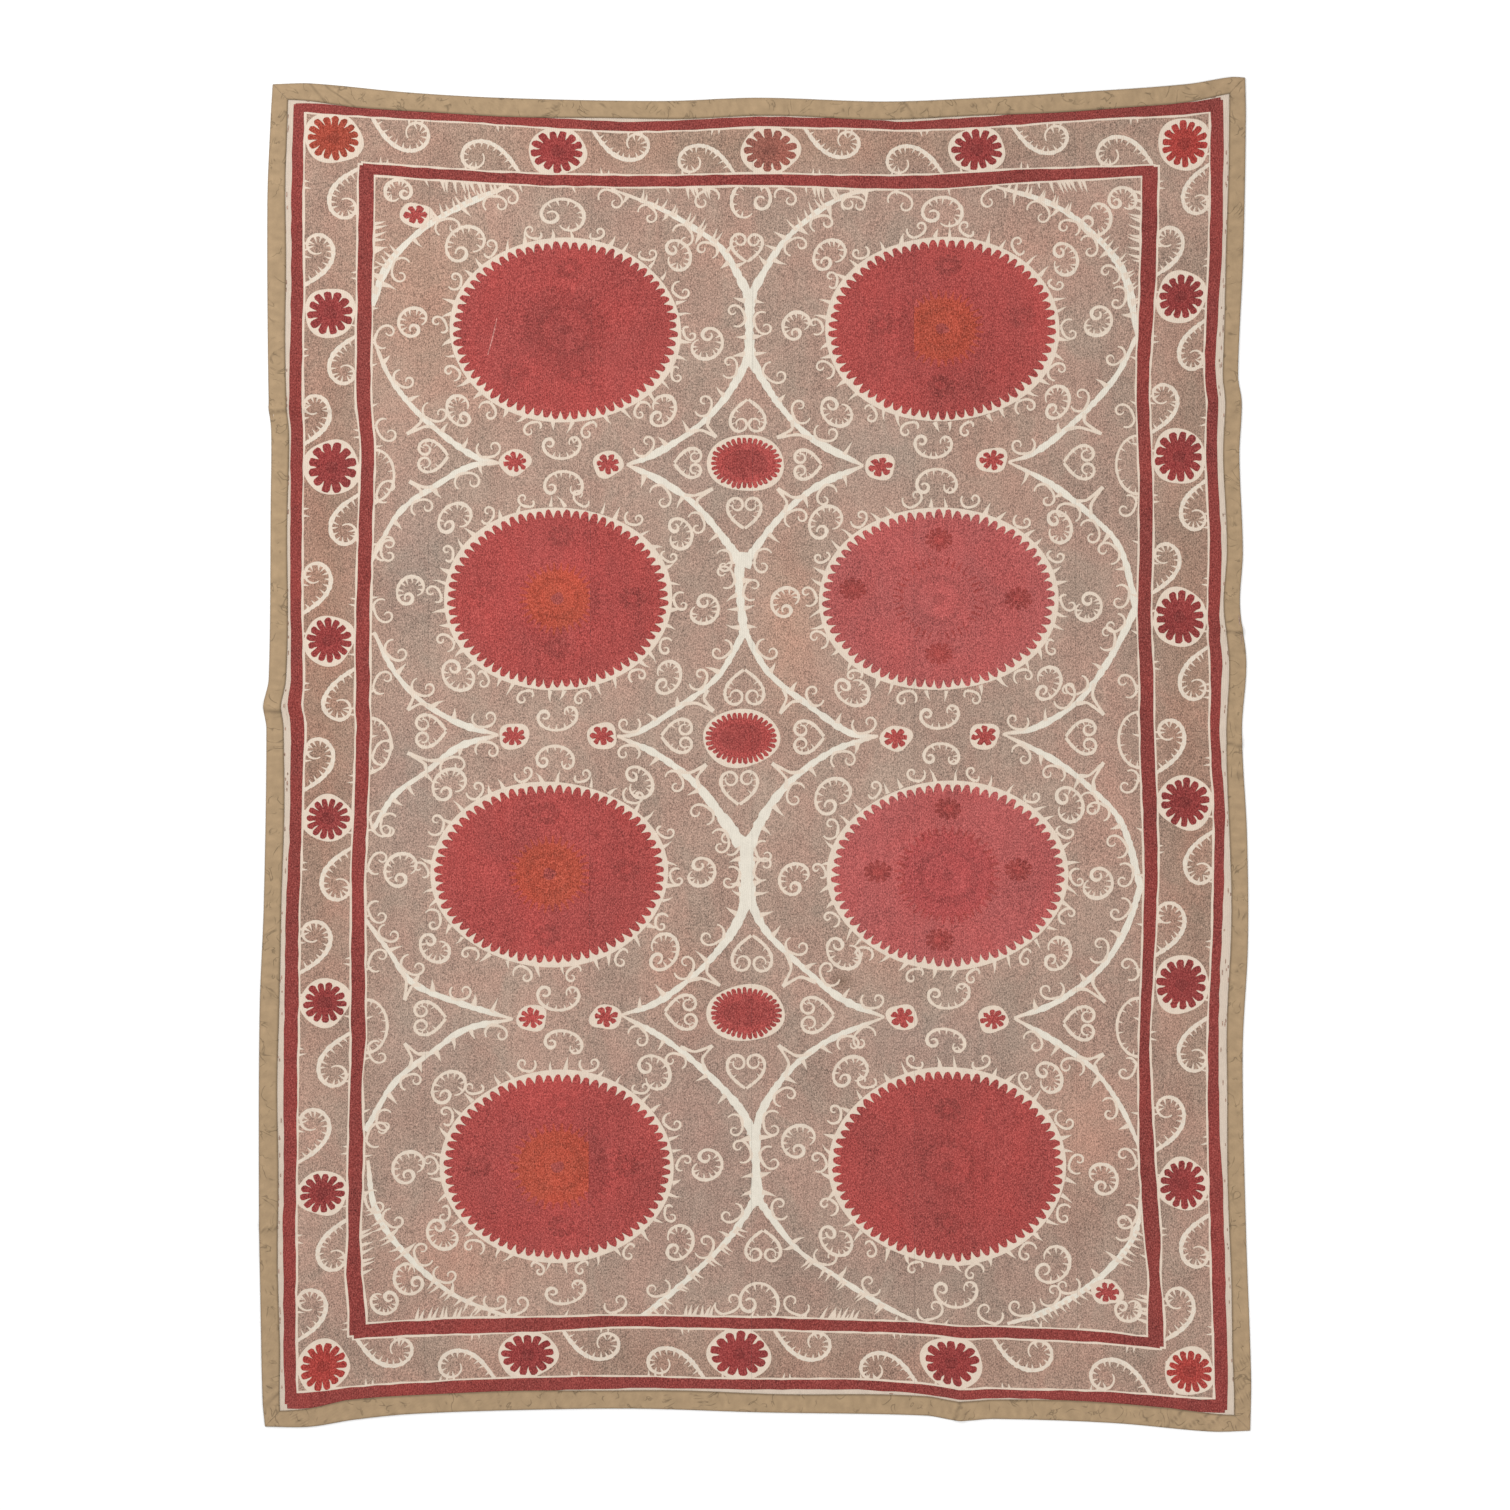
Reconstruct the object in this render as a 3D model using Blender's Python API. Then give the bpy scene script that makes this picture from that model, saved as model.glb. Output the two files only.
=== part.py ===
"""Suzani: a cotton cloth of six loom widths, embroidered all over and edged with a folded binding.

It lies flat, face up. X runs across the cloth, Y up its length and Z up from what it lies on.
The origin is the centre of the bounding box, on the surface below. Every size is in metres.

Places on the cloth are given as a, the distance in from its left edge, and b, the distance up
from its bottom edge. place() turns them into X and Y by pulling the edges as unevenly as they lie.
"""

import math
from collections import namedtuple

import bmesh
import bpy
from mathutils import Vector

MM = 0.001

# The cloth, measured flat
WIDTH = 1.908
HEIGHT = 2.627
LOOM_WIDTH = 0.316
FIRST_SEAM = 0.310
PANELS = 6
CLOTH_THICK = 1.5 * MM

# The binding, a strip folded over the edge of the cloth
BINDING_WIDTH = 32 * MM
BINDING_THICK = 1.0 * MM
FOLD_ROUNDING = 1.2 * MM

# Clearances between pieces
GAP = 0.3 * MM
CLOTH_EDGE = 2.0 * MM  # from the outside of the fold to the raw edge of the cloth inside it

# How the cloth comes down from the binding's lower layer to the surface
UNDER = BINDING_THICK + GAP
SETTLE = 40 * MM

# Spacing of the sections that carry the shape
ROW_STEP = 85 * MM
COLUMN_STEP = 80 * MM
CLOSEST = 9 * MM

# The four corners as they lie, before centring
TOP_LEFT = Vector((-0.939, 1.307))
TOP_RIGHT = Vector((0.957, 1.320))
BOTTOM_LEFT = Vector((-0.954, -1.310))
BOTTOM_RIGHT = Vector((0.967, -1.318))

# How far each edge stands out from the straight line between its corners.
# share runs from left to right or from bottom to top.
EdgePoint = namedtuple("EdgePoint", "share out")
LEFT_EDGE = (
    EdgePoint(0.00, 0 * MM),
    EdgePoint(0.02, 5 * MM),
    EdgePoint(0.09, 10 * MM),
    EdgePoint(0.16, 14 * MM),
    EdgePoint(0.31, 15 * MM),
    EdgePoint(0.39, 8 * MM),
    EdgePoint(0.52, 5 * MM),
    EdgePoint(0.537, 11 * MM),
    EdgePoint(0.557, 1 * MM),
    EdgePoint(0.69, -1 * MM),
    EdgePoint(0.742, -1 * MM),
    EdgePoint(0.76, 4 * MM),
    EdgePoint(0.91, 9 * MM),
    EdgePoint(0.97, 4 * MM),
    EdgePoint(1.00, 0 * MM),
)
RIGHT_EDGE = (
    EdgePoint(0.00, 0 * MM),
    EdgePoint(0.04, 2 * MM),
    EdgePoint(0.15, -7 * MM),
    EdgePoint(0.28, -12 * MM),
    EdgePoint(0.36, -1 * MM),
    EdgePoint(0.44, -2 * MM),
    EdgePoint(0.517, -11 * MM),
    EdgePoint(0.568, -2 * MM),
    EdgePoint(0.61, -14 * MM),
    EdgePoint(0.65, -8 * MM),
    EdgePoint(0.72, -14 * MM),
    EdgePoint(0.76, -9 * MM),
    EdgePoint(0.78, -16 * MM),
    EdgePoint(0.87, -5 * MM),
    EdgePoint(0.97, 1 * MM),
    EdgePoint(1.00, 0 * MM),
)
TOP_EDGE = (
    EdgePoint(0.00, 0 * MM),
    EdgePoint(0.04, 1 * MM),
    EdgePoint(0.14, -18 * MM),
    EdgePoint(0.24, -30 * MM),
    EdgePoint(0.40, -38 * MM),
    EdgePoint(0.50, -33 * MM),
    EdgePoint(0.63, -42 * MM),
    EdgePoint(0.73, -36 * MM),
    EdgePoint(0.83, -26 * MM),
    EdgePoint(0.94, -12 * MM),
    EdgePoint(0.985, 1 * MM),
    EdgePoint(1.00, 0 * MM),
)
BOTTOM_EDGE = (
    EdgePoint(0.00, 0 * MM),
    EdgePoint(0.045, 0 * MM),
    EdgePoint(0.09, -14 * MM),
    EdgePoint(0.15, -26 * MM),
    EdgePoint(0.27, -35 * MM),
    EdgePoint(0.38, -38 * MM),
    EdgePoint(0.50, -32 * MM),
    EdgePoint(0.67, -27 * MM),
    EdgePoint(0.705, -17 * MM),
    EdgePoint(0.74, -21 * MM),
    EdgePoint(0.86, -14 * MM),
    EdgePoint(0.96, 2 * MM),
    EdgePoint(1.00, 0 * MM),
)

# How far into the cloth the pull of an edge is still felt
SIDE_REACH = 0.15
END_REACH = 0.33

# Folds that never pressed out: soft ridges, hollow beneath. along is a or b, the way the ridge runs.
Crease = namedtuple("Crease", "a b along length half_width height")
CREASES = (
    Crease(0.085, 1.992, "a", 0.240, 13 * MM, 6.0 * MM),
    Crease(0.060, 1.409, "a", 0.180, 20 * MM, 5.0 * MM),
    Crease(1.815, 1.556, "a", 0.260, 13 * MM, 6.0 * MM),
    Crease(1.850, 1.338, "a", 0.140, 18 * MM, 3.0 * MM),
    Crease(0.085, 0.392, "a", 0.200, 16 * MM, 3.0 * MM),
    Crease(1.320, 0.560, "b", 0.260, 13 * MM, 4.0 * MM),
    Crease(1.390, 0.530, "b", 0.230, 16 * MM, 3.0 * MM),
    Crease(1.345, 0.045, "b", 0.170, 16 * MM, 4.0 * MM),
)

# Finishes: red, green and blue of the thread or cloth, and its roughness
STITCHED_COTTON = ("stitched_cotton", (0.42, 0.30, 0.26), 0.9)
BINDING_COTTON = ("binding_cotton", (0.45, 0.34, 0.19), 0.85)


def along_table(points, share):
    """The out value of a table of EdgePoints at this share, on a smooth curve through its points."""
    after = next((k for k in range(1, len(points)) if share <= points[k].share), len(points) - 1)
    before = after - 1
    start, end = points[before], points[after]
    span = end.share - start.share
    t = min(max((share - start.share) / span, 0.0), 1.0)

    def slope(k):
        low, high = max(k - 1, 0), min(k + 1, len(points) - 1)
        return (points[high].out - points[low].out) / (points[high].share - points[low].share)

    rise, fall = slope(before) * span, slope(after) * span
    return (
        start.out * (2 * t**3 - 3 * t**2 + 1)
        + rise * (t**3 - 2 * t**2 + t)
        + end.out * (3 * t**2 - 2 * t**3)
        + fall * (t**3 - t**2)
    )


def uncentred(a, b):
    """X and Y of a point of the cloth before the cloth is centred."""
    across, up = a / WIDTH, b / HEIGHT
    low = BOTTOM_LEFT.lerp(BOTTOM_RIGHT, across)
    high = TOP_LEFT.lerp(TOP_RIGHT, across)
    point = low.lerp(high, up)
    point.x -= along_table(LEFT_EDGE, up) * math.exp(-a / SIDE_REACH)
    point.x += along_table(RIGHT_EDGE, up) * math.exp(-(WIDTH - a) / SIDE_REACH)
    point.y += along_table(TOP_EDGE, across) * math.exp(-(HEIGHT - b) / END_REACH)
    point.y -= along_table(BOTTOM_EDGE, across) * math.exp(-b / END_REACH)
    return point


def outline_middle(rows, columns):
    """The middle of the box round the outline, sampled at the binding's own sections."""
    edge = [uncentred(a, b) for b in rows for a in (0, WIDTH)]
    edge += [uncentred(a, b) for a in columns for b in (0, HEIGHT)]
    xs, ys = [p.x for p in edge], [p.y for p in edge]
    return Vector(((min(xs) + max(xs)) / 2, (min(ys) + max(ys)) / 2))


def hump(distance, half_width):
    """1 on a ridge's line, falling smoothly to 0 at half_width from it."""
    if abs(distance) >= half_width:
        return 0.0
    return 0.5 + 0.5 * math.cos(math.pi * distance / half_width)


def lift(a, b):
    """How high the creases hold the cloth off the surface. Under the binding it doesn't change."""
    a = min(max(a, BINDING_WIDTH), WIDTH - BINDING_WIDTH)
    b = min(max(b, BINDING_WIDTH), HEIGHT - BINDING_WIDTH)
    height = 0.0
    for crease in CREASES:
        along, across = a - crease.a, b - crease.b
        if crease.along == "b":
            along, across = across, along
        taper = hump(along, crease.length / 2) ** 0.5
        height = max(height, crease.height * hump(across, crease.half_width) * taper)
    return height


def stands_on_binding(a, b):
    """How high the binding's lower layer holds the cloth, which settles to the surface inside it."""
    inward = min(a, WIDTH - a, b, HEIGHT - b)
    share = (inward - BINDING_WIDTH) / SETTLE
    return UNDER * (1 - min(max(share, 0.0), 1.0))


def stations(kept, step):
    """Sections from the first kept one to the last, no further apart than step."""
    kept = sorted(kept)
    spread = [kept[0]]
    for place_now in kept[1:]:
        if place_now - spread[-1] < CLOSEST / 2 and place_now != kept[-1]:
            continue
        parts = max(1, math.ceil((place_now - spread[-1]) / step))
        start = spread[-1]
        spread += [start + (place_now - start) * (k + 1) / parts for k in range(parts)]
    return spread


def crease_sections(along, low, high):
    """Sections across every crease that runs along a or b and lies between low and high."""
    found = []
    for crease in CREASES:
        if crease.along != along:
            continue
        line = crease.b if along == "a" else crease.a
        sections = [line + crease.half_width * k / 2 for k in range(-2, 3)]
        found += [s for s in sections if low < s < high]
    return found


def rim_sections(length):
    """The sections that the binding's edges and the settling cloth need at both ends of a length."""
    near = [CLOTH_EDGE, BINDING_WIDTH, BINDING_WIDTH + SETTLE]
    return near + [length - s for s in near]


def panel_bounds(number):
    """Where a panel starts and ends across the cloth, numbered from 0 at the left."""
    left = CLOTH_EDGE if number == 0 else FIRST_SEAM + (number - 1) * LOOM_WIDTH + GAP / 2
    last = number == PANELS - 1
    right = WIDTH - CLOTH_EDGE if last else FIRST_SEAM + number * LOOM_WIDTH - GAP / 2
    return left, right


def panel_columns(number):
    left, right = panel_bounds(number)
    rim = [s for s in rim_sections(WIDTH) if left < s < right]
    ridges = crease_sections("b", left + CLOSEST, right - CLOSEST)
    return stations([left, right, *rim, *ridges], COLUMN_STEP)


def panel_rows():
    """The rows of every panel. They are shared, so that neighbours meet along the same facets."""
    inside = BINDING_WIDTH + SETTLE
    ridges = crease_sections("a", inside, HEIGHT - inside)
    return stations([*rim_sections(HEIGHT), *ridges], ROW_STEP)


def material(finish):
    name, colour, roughness = finish
    made = bpy.data.materials.get(name) or bpy.data.materials.new(name)
    made.use_nodes = True
    shader = made.node_tree.nodes["Principled BSDF"]
    shader.inputs["Base Color"].default_value = (*colour, 1)
    shader.inputs["Roughness"].default_value = roughness
    shader.inputs["Metallic"].default_value = 0
    return made


def lattice(columns, rows, position):
    """A grid of columns by rows vertices, each moved to position(column, row)."""
    mesh = bmesh.new()
    bmesh.ops.create_grid(mesh, x_segments=columns - 1, y_segments=rows - 1, size=1)
    for vert in mesh.verts:
        column = round((vert.co.x + 1) / 2 * (columns - 1))
        row = round((vert.co.y + 1) / 2 * (rows - 1))
        vert.co = position(column, row)
    return mesh


def add_object(name, mesh, finish):
    bmesh.ops.recalc_face_normals(mesh, faces=mesh.faces[:])
    data = bpy.data.meshes.new(name)
    mesh.to_mesh(data)
    mesh.free()
    data.materials.append(material(finish))
    made = bpy.data.objects.new(name, data)
    bpy.context.scene.collection.objects.link(made)
    return made


def make_panel(number, rows, place):
    """One length of the embroidered cloth: a sheet on its folds, raised to its thickness."""
    columns = panel_columns(number)

    def underside(column, row):
        a, b = columns[column], rows[row]
        return place(a, b, lift(a, b) + stands_on_binding(a, b))

    mesh = lattice(len(columns), len(rows), underside)
    raised = bmesh.ops.extrude_face_region(mesh, geom=mesh.faces[:])["geom"]
    top = [part for part in raised if isinstance(part, bmesh.types.BMVert)]
    bmesh.ops.translate(mesh, verts=top, vec=(0, 0, CLOTH_THICK))
    return add_object(f"panel_{number + 1}", mesh, STITCHED_COTTON)


def binding_profile():
    """The folded strip in section: distance in from the outline, and height."""
    top = 2 * BINDING_THICK + 2 * GAP + CLOTH_THICK
    inside_top = top - BINDING_THICK
    return (
        (BINDING_WIDTH, 0),
        (FOLD_ROUNDING, 0),
        (0, FOLD_ROUNDING),
        (0, top - FOLD_ROUNDING),
        (FOLD_ROUNDING, top),
        (BINDING_WIDTH, top),
        (BINDING_WIDTH, inside_top),
        (BINDING_THICK, inside_top),
        (BINDING_THICK, BINDING_THICK),
        (BINDING_WIDTH, BINDING_THICK),
    )


def make_binding(name, sections, length, on_cloth, place):
    """One strip of the binding. on_cloth(along, inward) gives a and b. Its ends are cut to a mitre."""
    profile = binding_profile()
    middle = [s for s in sections if BINDING_WIDTH <= s <= length - BINDING_WIDTH]
    last_row = len(middle) + 1

    def position(column, row):
        inward, height = profile[column % len(profile)]
        if row == 0:
            along = inward + GAP
        elif row == last_row:
            along = length - inward - GAP
        else:
            along = middle[row - 1]
        a, b = on_cloth(along, inward)
        return place(a, b, lift(a, b) + height)

    mesh = lattice(len(profile) + 1, last_row + 1, position)
    bmesh.ops.remove_doubles(mesh, verts=mesh.verts[:], dist=GAP / 10)
    open_edges = [edge for edge in mesh.edges if edge.is_boundary]
    bmesh.ops.holes_fill(mesh, edges=open_edges, sides=0)
    return add_object(name, mesh, BINDING_COTTON)


def build():
    for old in list(bpy.data.objects):
        bpy.data.objects.remove(old)

    rows = panel_rows()
    columns = sorted(s for number in range(PANELS) for s in panel_columns(number))
    middle = outline_middle([0, *rows, HEIGHT], [0, *columns, WIDTH])

    def place(a, b, height):
        point = uncentred(a, b) - middle
        return Vector((point.x, point.y, height))

    for number in range(PANELS):
        make_panel(number, rows, place)
    make_binding("binding_left", rows, HEIGHT, lambda s, d: (d, s), place)
    make_binding("binding_right", rows, HEIGHT, lambda s, d: (WIDTH - d, s), place)
    make_binding("binding_bottom", columns, WIDTH, lambda s, d: (s, d), place)
    make_binding("binding_top", columns, WIDTH, lambda s, d: (s, HEIGHT - d), place)


build()
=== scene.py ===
# %% [markdown]
# # A suzani: the look of an embroidered cloth
# A suzani is a large cotton cloth, woven in narrow lengths that are joined side by side and then
# embroidered. Here nearly the whole cloth is stitched, and the cream lines of the pattern are the
# bare cloth that shows between the stitched patches. This lesson draws that pattern as flat
# patches, turns them into a mesh with the stitching raised over the cloth, and edges it.
# %% Load the frame
import math
import random
from collections import namedtuple

import bmesh
import bpy
import numpy as np
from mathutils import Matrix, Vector
from mathutils.geometry import delaunay_2d_cdt, interpolate_bezier


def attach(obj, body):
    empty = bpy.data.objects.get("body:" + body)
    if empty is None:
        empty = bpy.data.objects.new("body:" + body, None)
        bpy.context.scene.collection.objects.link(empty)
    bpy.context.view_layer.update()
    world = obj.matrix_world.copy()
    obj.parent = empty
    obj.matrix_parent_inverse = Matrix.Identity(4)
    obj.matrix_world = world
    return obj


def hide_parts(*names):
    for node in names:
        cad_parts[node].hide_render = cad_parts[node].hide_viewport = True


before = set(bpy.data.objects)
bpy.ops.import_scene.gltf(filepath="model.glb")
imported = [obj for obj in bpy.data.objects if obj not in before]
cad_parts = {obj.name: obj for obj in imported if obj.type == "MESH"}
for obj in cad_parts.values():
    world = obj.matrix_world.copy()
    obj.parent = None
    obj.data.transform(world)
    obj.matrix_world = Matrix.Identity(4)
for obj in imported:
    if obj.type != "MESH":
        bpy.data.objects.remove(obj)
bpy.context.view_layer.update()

# %% [markdown]
# ## Camera, light and floor
# The cloth was photographed from straight above, so the camera looks straight down. A long lens
# from high up keeps the edges from leaning. Two large soft lamps stand in for a studio: the
# brighter one comes from the upper left, low enough for the stitches and folds to cast a little
# shade. The floor is a plain pale sheet of paper.
# %% Place the camera, the lamps and the floor
PICTURE_WIDTH = 2.9445
CAMERA_HEIGHT = 6.0
SENSOR = 36.0
KEY_WATTS = 165
FILL_WATTS = 75
SKY_STRENGTH = 0.72
PAPER_WHITE = 0.93
PAPER_ROUGHNESS = 0.9
FLOOR_SIZE = 60.0

camera_data = bpy.data.cameras.new("camera")
camera_data.sensor_width = SENSOR
camera_data.lens = SENSOR * CAMERA_HEIGHT / PICTURE_WIDTH
camera = bpy.data.objects.new("camera", camera_data)
camera.location = (0.0, -0.001, CAMERA_HEIGHT)
bpy.context.scene.collection.objects.link(camera)
bpy.context.scene.camera = camera
print("camera", CAMERA_HEIGHT, "m up with a lens of", round(camera_data.lens, 1), "mm")


def area_lamp(name, place, aim, size, watts):
    """A square soft lamp at place, turned towards aim."""
    data = bpy.data.lights.new(name, "AREA")
    data.size = size
    data.energy = watts
    lamp = bpy.data.objects.new(name, data)
    lamp.location = place
    lamp.rotation_euler = (Vector(aim) - Vector(place)).to_track_quat("-Z", "Y").to_euler()
    bpy.context.scene.collection.objects.link(lamp)
    return lamp


area_lamp("key_lamp", (-3.0, 2.6, 4.0), (0, 0, 0), 3.2, KEY_WATTS)
area_lamp("fill_lamp", (2.6, -2.2, 4.2), (0, 0, 0), 3.0, FILL_WATTS)

world = bpy.data.worlds.new("studio")
world.use_nodes = True
world.node_tree.nodes["Background"].inputs["Color"].default_value = (1, 1, 1, 1)
world.node_tree.nodes["Background"].inputs["Strength"].default_value = SKY_STRENGTH
bpy.context.scene.world = world
bpy.context.scene.view_settings.view_transform = "Standard"

# %% Spread the floor
floor_mesh = bmesh.new()
bmesh.ops.create_grid(floor_mesh, x_segments=1, y_segments=1, size=FLOOR_SIZE / 2)
floor_data = bpy.data.meshes.new("floor")
floor_mesh.to_mesh(floor_data)
floor_mesh.free()
floor = bpy.data.objects.new("floor", floor_data)
bpy.context.scene.collection.objects.link(floor)
paper = bpy.data.materials.new("pale_paper")
paper.use_nodes = True
paper_shader = paper.node_tree.nodes["Principled BSDF"]
paper_shader.inputs["Base Color"].default_value = (PAPER_WHITE, PAPER_WHITE, PAPER_WHITE, 1)
paper_shader.inputs["Roughness"].default_value = PAPER_ROUGHNESS
floor_data.materials.append(paper)
print("floor", FLOOR_SIZE, "m square")

# %% [markdown]
# ## How the cloth lies
# The cloth is cut square, but it doesn't lie square: its ends are pulled in and its sides wander.
# So every place on it is first given flat, as a across from the left edge and b up from the
# bottom edge, and lay() then pulls it into the shape in which it lies. These are the same
# numbers and rules as the solid model's, so that both have one outline and the same folds.
# %% Measures of the cloth
MM = 0.001
WIDTH = 1.908
HEIGHT = 2.627
LOOM_WIDTH = 0.316
FIRST_SEAM = 0.310
PANELS = 6
BINDING_WIDTH = 32 * MM
BINDING_THICK = 1.0 * MM
GAP = 0.3 * MM
CLOTH_EDGE = 2.0 * MM
UNDER = BINDING_THICK + GAP
SETTLE = 40 * MM
SIDE_REACH = 0.15
END_REACH = 0.33
SETTLING_ROUNDS = 25
print("cloth", WIDTH, "by", HEIGHT, "m, in", PANELS, "lengths")

# %% Corners, edges and folds
TOP_LEFT = (-0.939, 1.307)
TOP_RIGHT = (0.957, 1.320)
BOTTOM_LEFT = (-0.954, -1.310)
BOTTOM_RIGHT = (0.967, -1.318)

# Each row is a share of the edge, from left to right or from bottom to top, and how many
# millimetres the edge stands out there from the straight line between its corners.
EDGES = {
    "left": ((0, 0), (0.02, 5), (0.09, 10), (0.16, 14), (0.31, 15), (0.39, 8), (0.52, 5), (0.537, 11),
             (0.557, 1), (0.69, -1), (0.742, -1), (0.76, 4), (0.91, 9), (0.97, 4), (1, 0)),
    "right": ((0, 0), (0.04, 2), (0.15, -7), (0.28, -12), (0.36, -1), (0.44, -2), (0.517, -11),
              (0.568, -2), (0.61, -14), (0.65, -8), (0.72, -14), (0.76, -9), (0.78, -16), (0.87, -5),
              (0.97, 1), (1, 0)),
    "top": ((0, 0), (0.04, 1), (0.14, -18), (0.24, -30), (0.40, -38), (0.50, -33), (0.63, -42),
            (0.73, -36), (0.83, -26), (0.94, -12), (0.985, 1), (1, 0)),
    "bottom": ((0, 0), (0.045, 0), (0.09, -14), (0.15, -26), (0.27, -35), (0.38, -38), (0.50, -32),
               (0.67, -27), (0.705, -17), (0.74, -21), (0.86, -14), (0.96, 2), (1, 0)),
}

Crease = namedtuple("Crease", "a b along length half_width height")
CREASES = (
    Crease(0.085, 1.992, "a", 0.240, 13 * MM, 6.0 * MM),
    Crease(0.060, 1.409, "a", 0.180, 20 * MM, 5.0 * MM),
    Crease(1.815, 1.556, "a", 0.260, 13 * MM, 6.0 * MM),
    Crease(1.850, 1.338, "a", 0.140, 18 * MM, 3.0 * MM),
    Crease(0.085, 0.392, "a", 0.200, 16 * MM, 3.0 * MM),
    Crease(1.320, 0.560, "b", 0.260, 13 * MM, 4.0 * MM),
    Crease(1.390, 0.530, "b", 0.230, 16 * MM, 3.0 * MM),
    Crease(1.345, 0.045, "b", 0.170, 16 * MM, 4.0 * MM),
)
print(sum(len(rows) for rows in EDGES.values()), "places along the edges,", len(CREASES), "folds")


# %% Lay the flat cloth in its outline
def edge_out(name, share):
    """How far this edge stands out at each share, on a smooth curve through the table's points."""
    shares, outs = np.array(EDGES[name], float).T
    slopes = np.gradient(outs, shares)
    slopes[1:-1] = (outs[2:] - outs[:-2]) / (shares[2:] - shares[:-2])
    after = np.clip(np.searchsorted(shares, share), 1, len(shares) - 1)
    before = after - 1
    span = shares[after] - shares[before]
    t = np.clip((share - shares[before]) / span, 0, 1)
    return MM * (
        outs[before] * (2 * t**3 - 3 * t**2 + 1)
        + slopes[before] * span * (t**3 - 2 * t**2 + t)
        + outs[after] * (3 * t**2 - 2 * t**3)
        + slopes[after] * span * (t**3 - t**2)
    )


def lay_uncentred(a, b):
    """X and Y of points of the flat cloth, given as arrays."""
    across, up = a / WIDTH, b / HEIGHT
    corners = [np.array(c)[:, None] for c in (BOTTOM_LEFT, BOTTOM_RIGHT, TOP_LEFT, TOP_RIGHT)]
    low = corners[0] * (1 - across) + corners[1] * across
    high = corners[2] * (1 - across) + corners[3] * across
    x, y = low * (1 - up) + high * up
    x = x - edge_out("left", up) * np.exp(-a / SIDE_REACH)
    x = x + edge_out("right", up) * np.exp(-(WIDTH - a) / SIDE_REACH)
    y = y + edge_out("top", across) * np.exp(-(HEIGHT - b) / END_REACH)
    y = y - edge_out("bottom", across) * np.exp(-b / END_REACH)
    return x, y


OFF_CENTRE = (0.0014, 0.0003)


def lay(a, b):
    """X and Y, in the shared frame, of points of the flat cloth."""
    x, y = lay_uncentred(np.asarray(a, float), np.asarray(b, float))
    return x - OFF_CENTRE[0], y - OFF_CENTRE[1]


def flat_place(x, y):
    """The point of the flat cloth, in millimetres, that lies at this X and Y, also in millimetres."""
    a, b = (x * MM + WIDTH / 2), (y * MM + HEIGHT / 2)
    for _ in range(SETTLING_ROUNDS):
        found_x, found_y = lay(np.array([a]), np.array([b]))
        a, b = a + x * MM - found_x[0], b + y * MM - found_y[0]
    return Vector((a / MM, b / MM))


corner_x, corner_y = lay([0, WIDTH, 0, WIDTH], [0, 0, HEIGHT, HEIGHT])
print("corners", [(round(float(x), 4), round(float(y), 4)) for x, y in zip(corner_x, corner_y)])

# %% [markdown]
# ## Folds near the edges
# Cloth that lies loose keeps a few low folds. Each is a ridge: a row of the table above says where
# its middle is, which way it runs, how long and wide it is and how high it stands. The height is a
# rounded hump across the ridge that fades out towards both its ends. At the edges the cloth stands
# on the lower layer of the folded binding, and settles to the floor a little further in.
# %% Height of the folds


def hump(distance, half_width):
    """1 on a ridge's line, falling smoothly to 0 at half_width from it."""
    near = np.clip(np.abs(distance) / half_width, 0, 1)
    return 0.5 + 0.5 * np.cos(math.pi * near)


def lift(a, b):
    """How high the folds hold the cloth off the surface."""
    a = np.clip(a, BINDING_WIDTH, WIDTH - BINDING_WIDTH)
    b = np.clip(b, BINDING_WIDTH, HEIGHT - BINDING_WIDTH)
    height = np.zeros_like(a)
    for crease in CREASES:
        along, across = a - crease.a, b - crease.b
        if crease.along == "b":
            along, across = across, along
        ridge = crease.height * hump(across, crease.half_width)
        height = np.maximum(height, ridge * hump(along, crease.length / 2) ** 0.5)
    return height


def stands_on_binding(a, b):
    """How high the binding's lower layer holds the cloth, which settles to the surface inside it."""
    inward = np.minimum(np.minimum(a, WIDTH - a), np.minimum(b, HEIGHT - b))
    return UNDER * (1 - np.clip((inward - BINDING_WIDTH) / SETTLE, 0, 1))


highest = max(float(lift(np.array([crease.a]), np.array([crease.b]))[0]) for crease in CREASES)
print("highest fold", round(highest / MM, 1), "mm")

# %% [markdown]
# ## Drawing with patches
# An embroiderer draws the pattern on the flat cloth and fills its shapes with thread. The same is
# done here: every shape is a small flat patch with a thread colour, in millimetres on the flat
# cloth. Where patches overlap, the one on the higher layer shows, as in cut paper. The cream
# lines are patches too: they say "leave the cloth bare here". All edges are drawn by hand, so
# each draw adds a small tremble from one seeded generator, and the result is always the same.
# %% Threads, layers and the list of patches
# A colour is given as light, not as on a screen. stitched is 1 for thread and 0 for bare cloth.
Thread = namedtuple("Thread", "red green blue stitched")
# BARE is bare cloth painted darker and pinker, with the painted shade and red light that the stitches beside
# a thin line throw on it. OPEN_BARE is bare cloth without them.
BARE = Thread(0.640, 0.530, 0.430, 0)
OPEN_BARE = Thread(0.655, 0.602, 0.512, 0)
GROUND = Thread(0.345, 0.234, 0.178, 1)
CRIMSON = Thread(0.325, 0.051, 0.045, 1)
BAND_RED = Thread(0.220, 0.035, 0.029, 1)
DEEP_RED = Thread(0.235, 0.031, 0.029, 1)
ORANGE = Thread(0.362, 0.056, 0.030, 1)
SCARLET = Thread(0.325, 0.036, 0.028, 1)
BROWNED = Thread(0.262, 0.085, 0.060, 1)

LINES, FILLS, DETAILS, HEARTS = 1, 2, 3, 4
SMALLEST_AREA = 0.2

Patch = namedtuple("Patch", "layer thread points")
patches = []
hand = random.Random(7)


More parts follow.
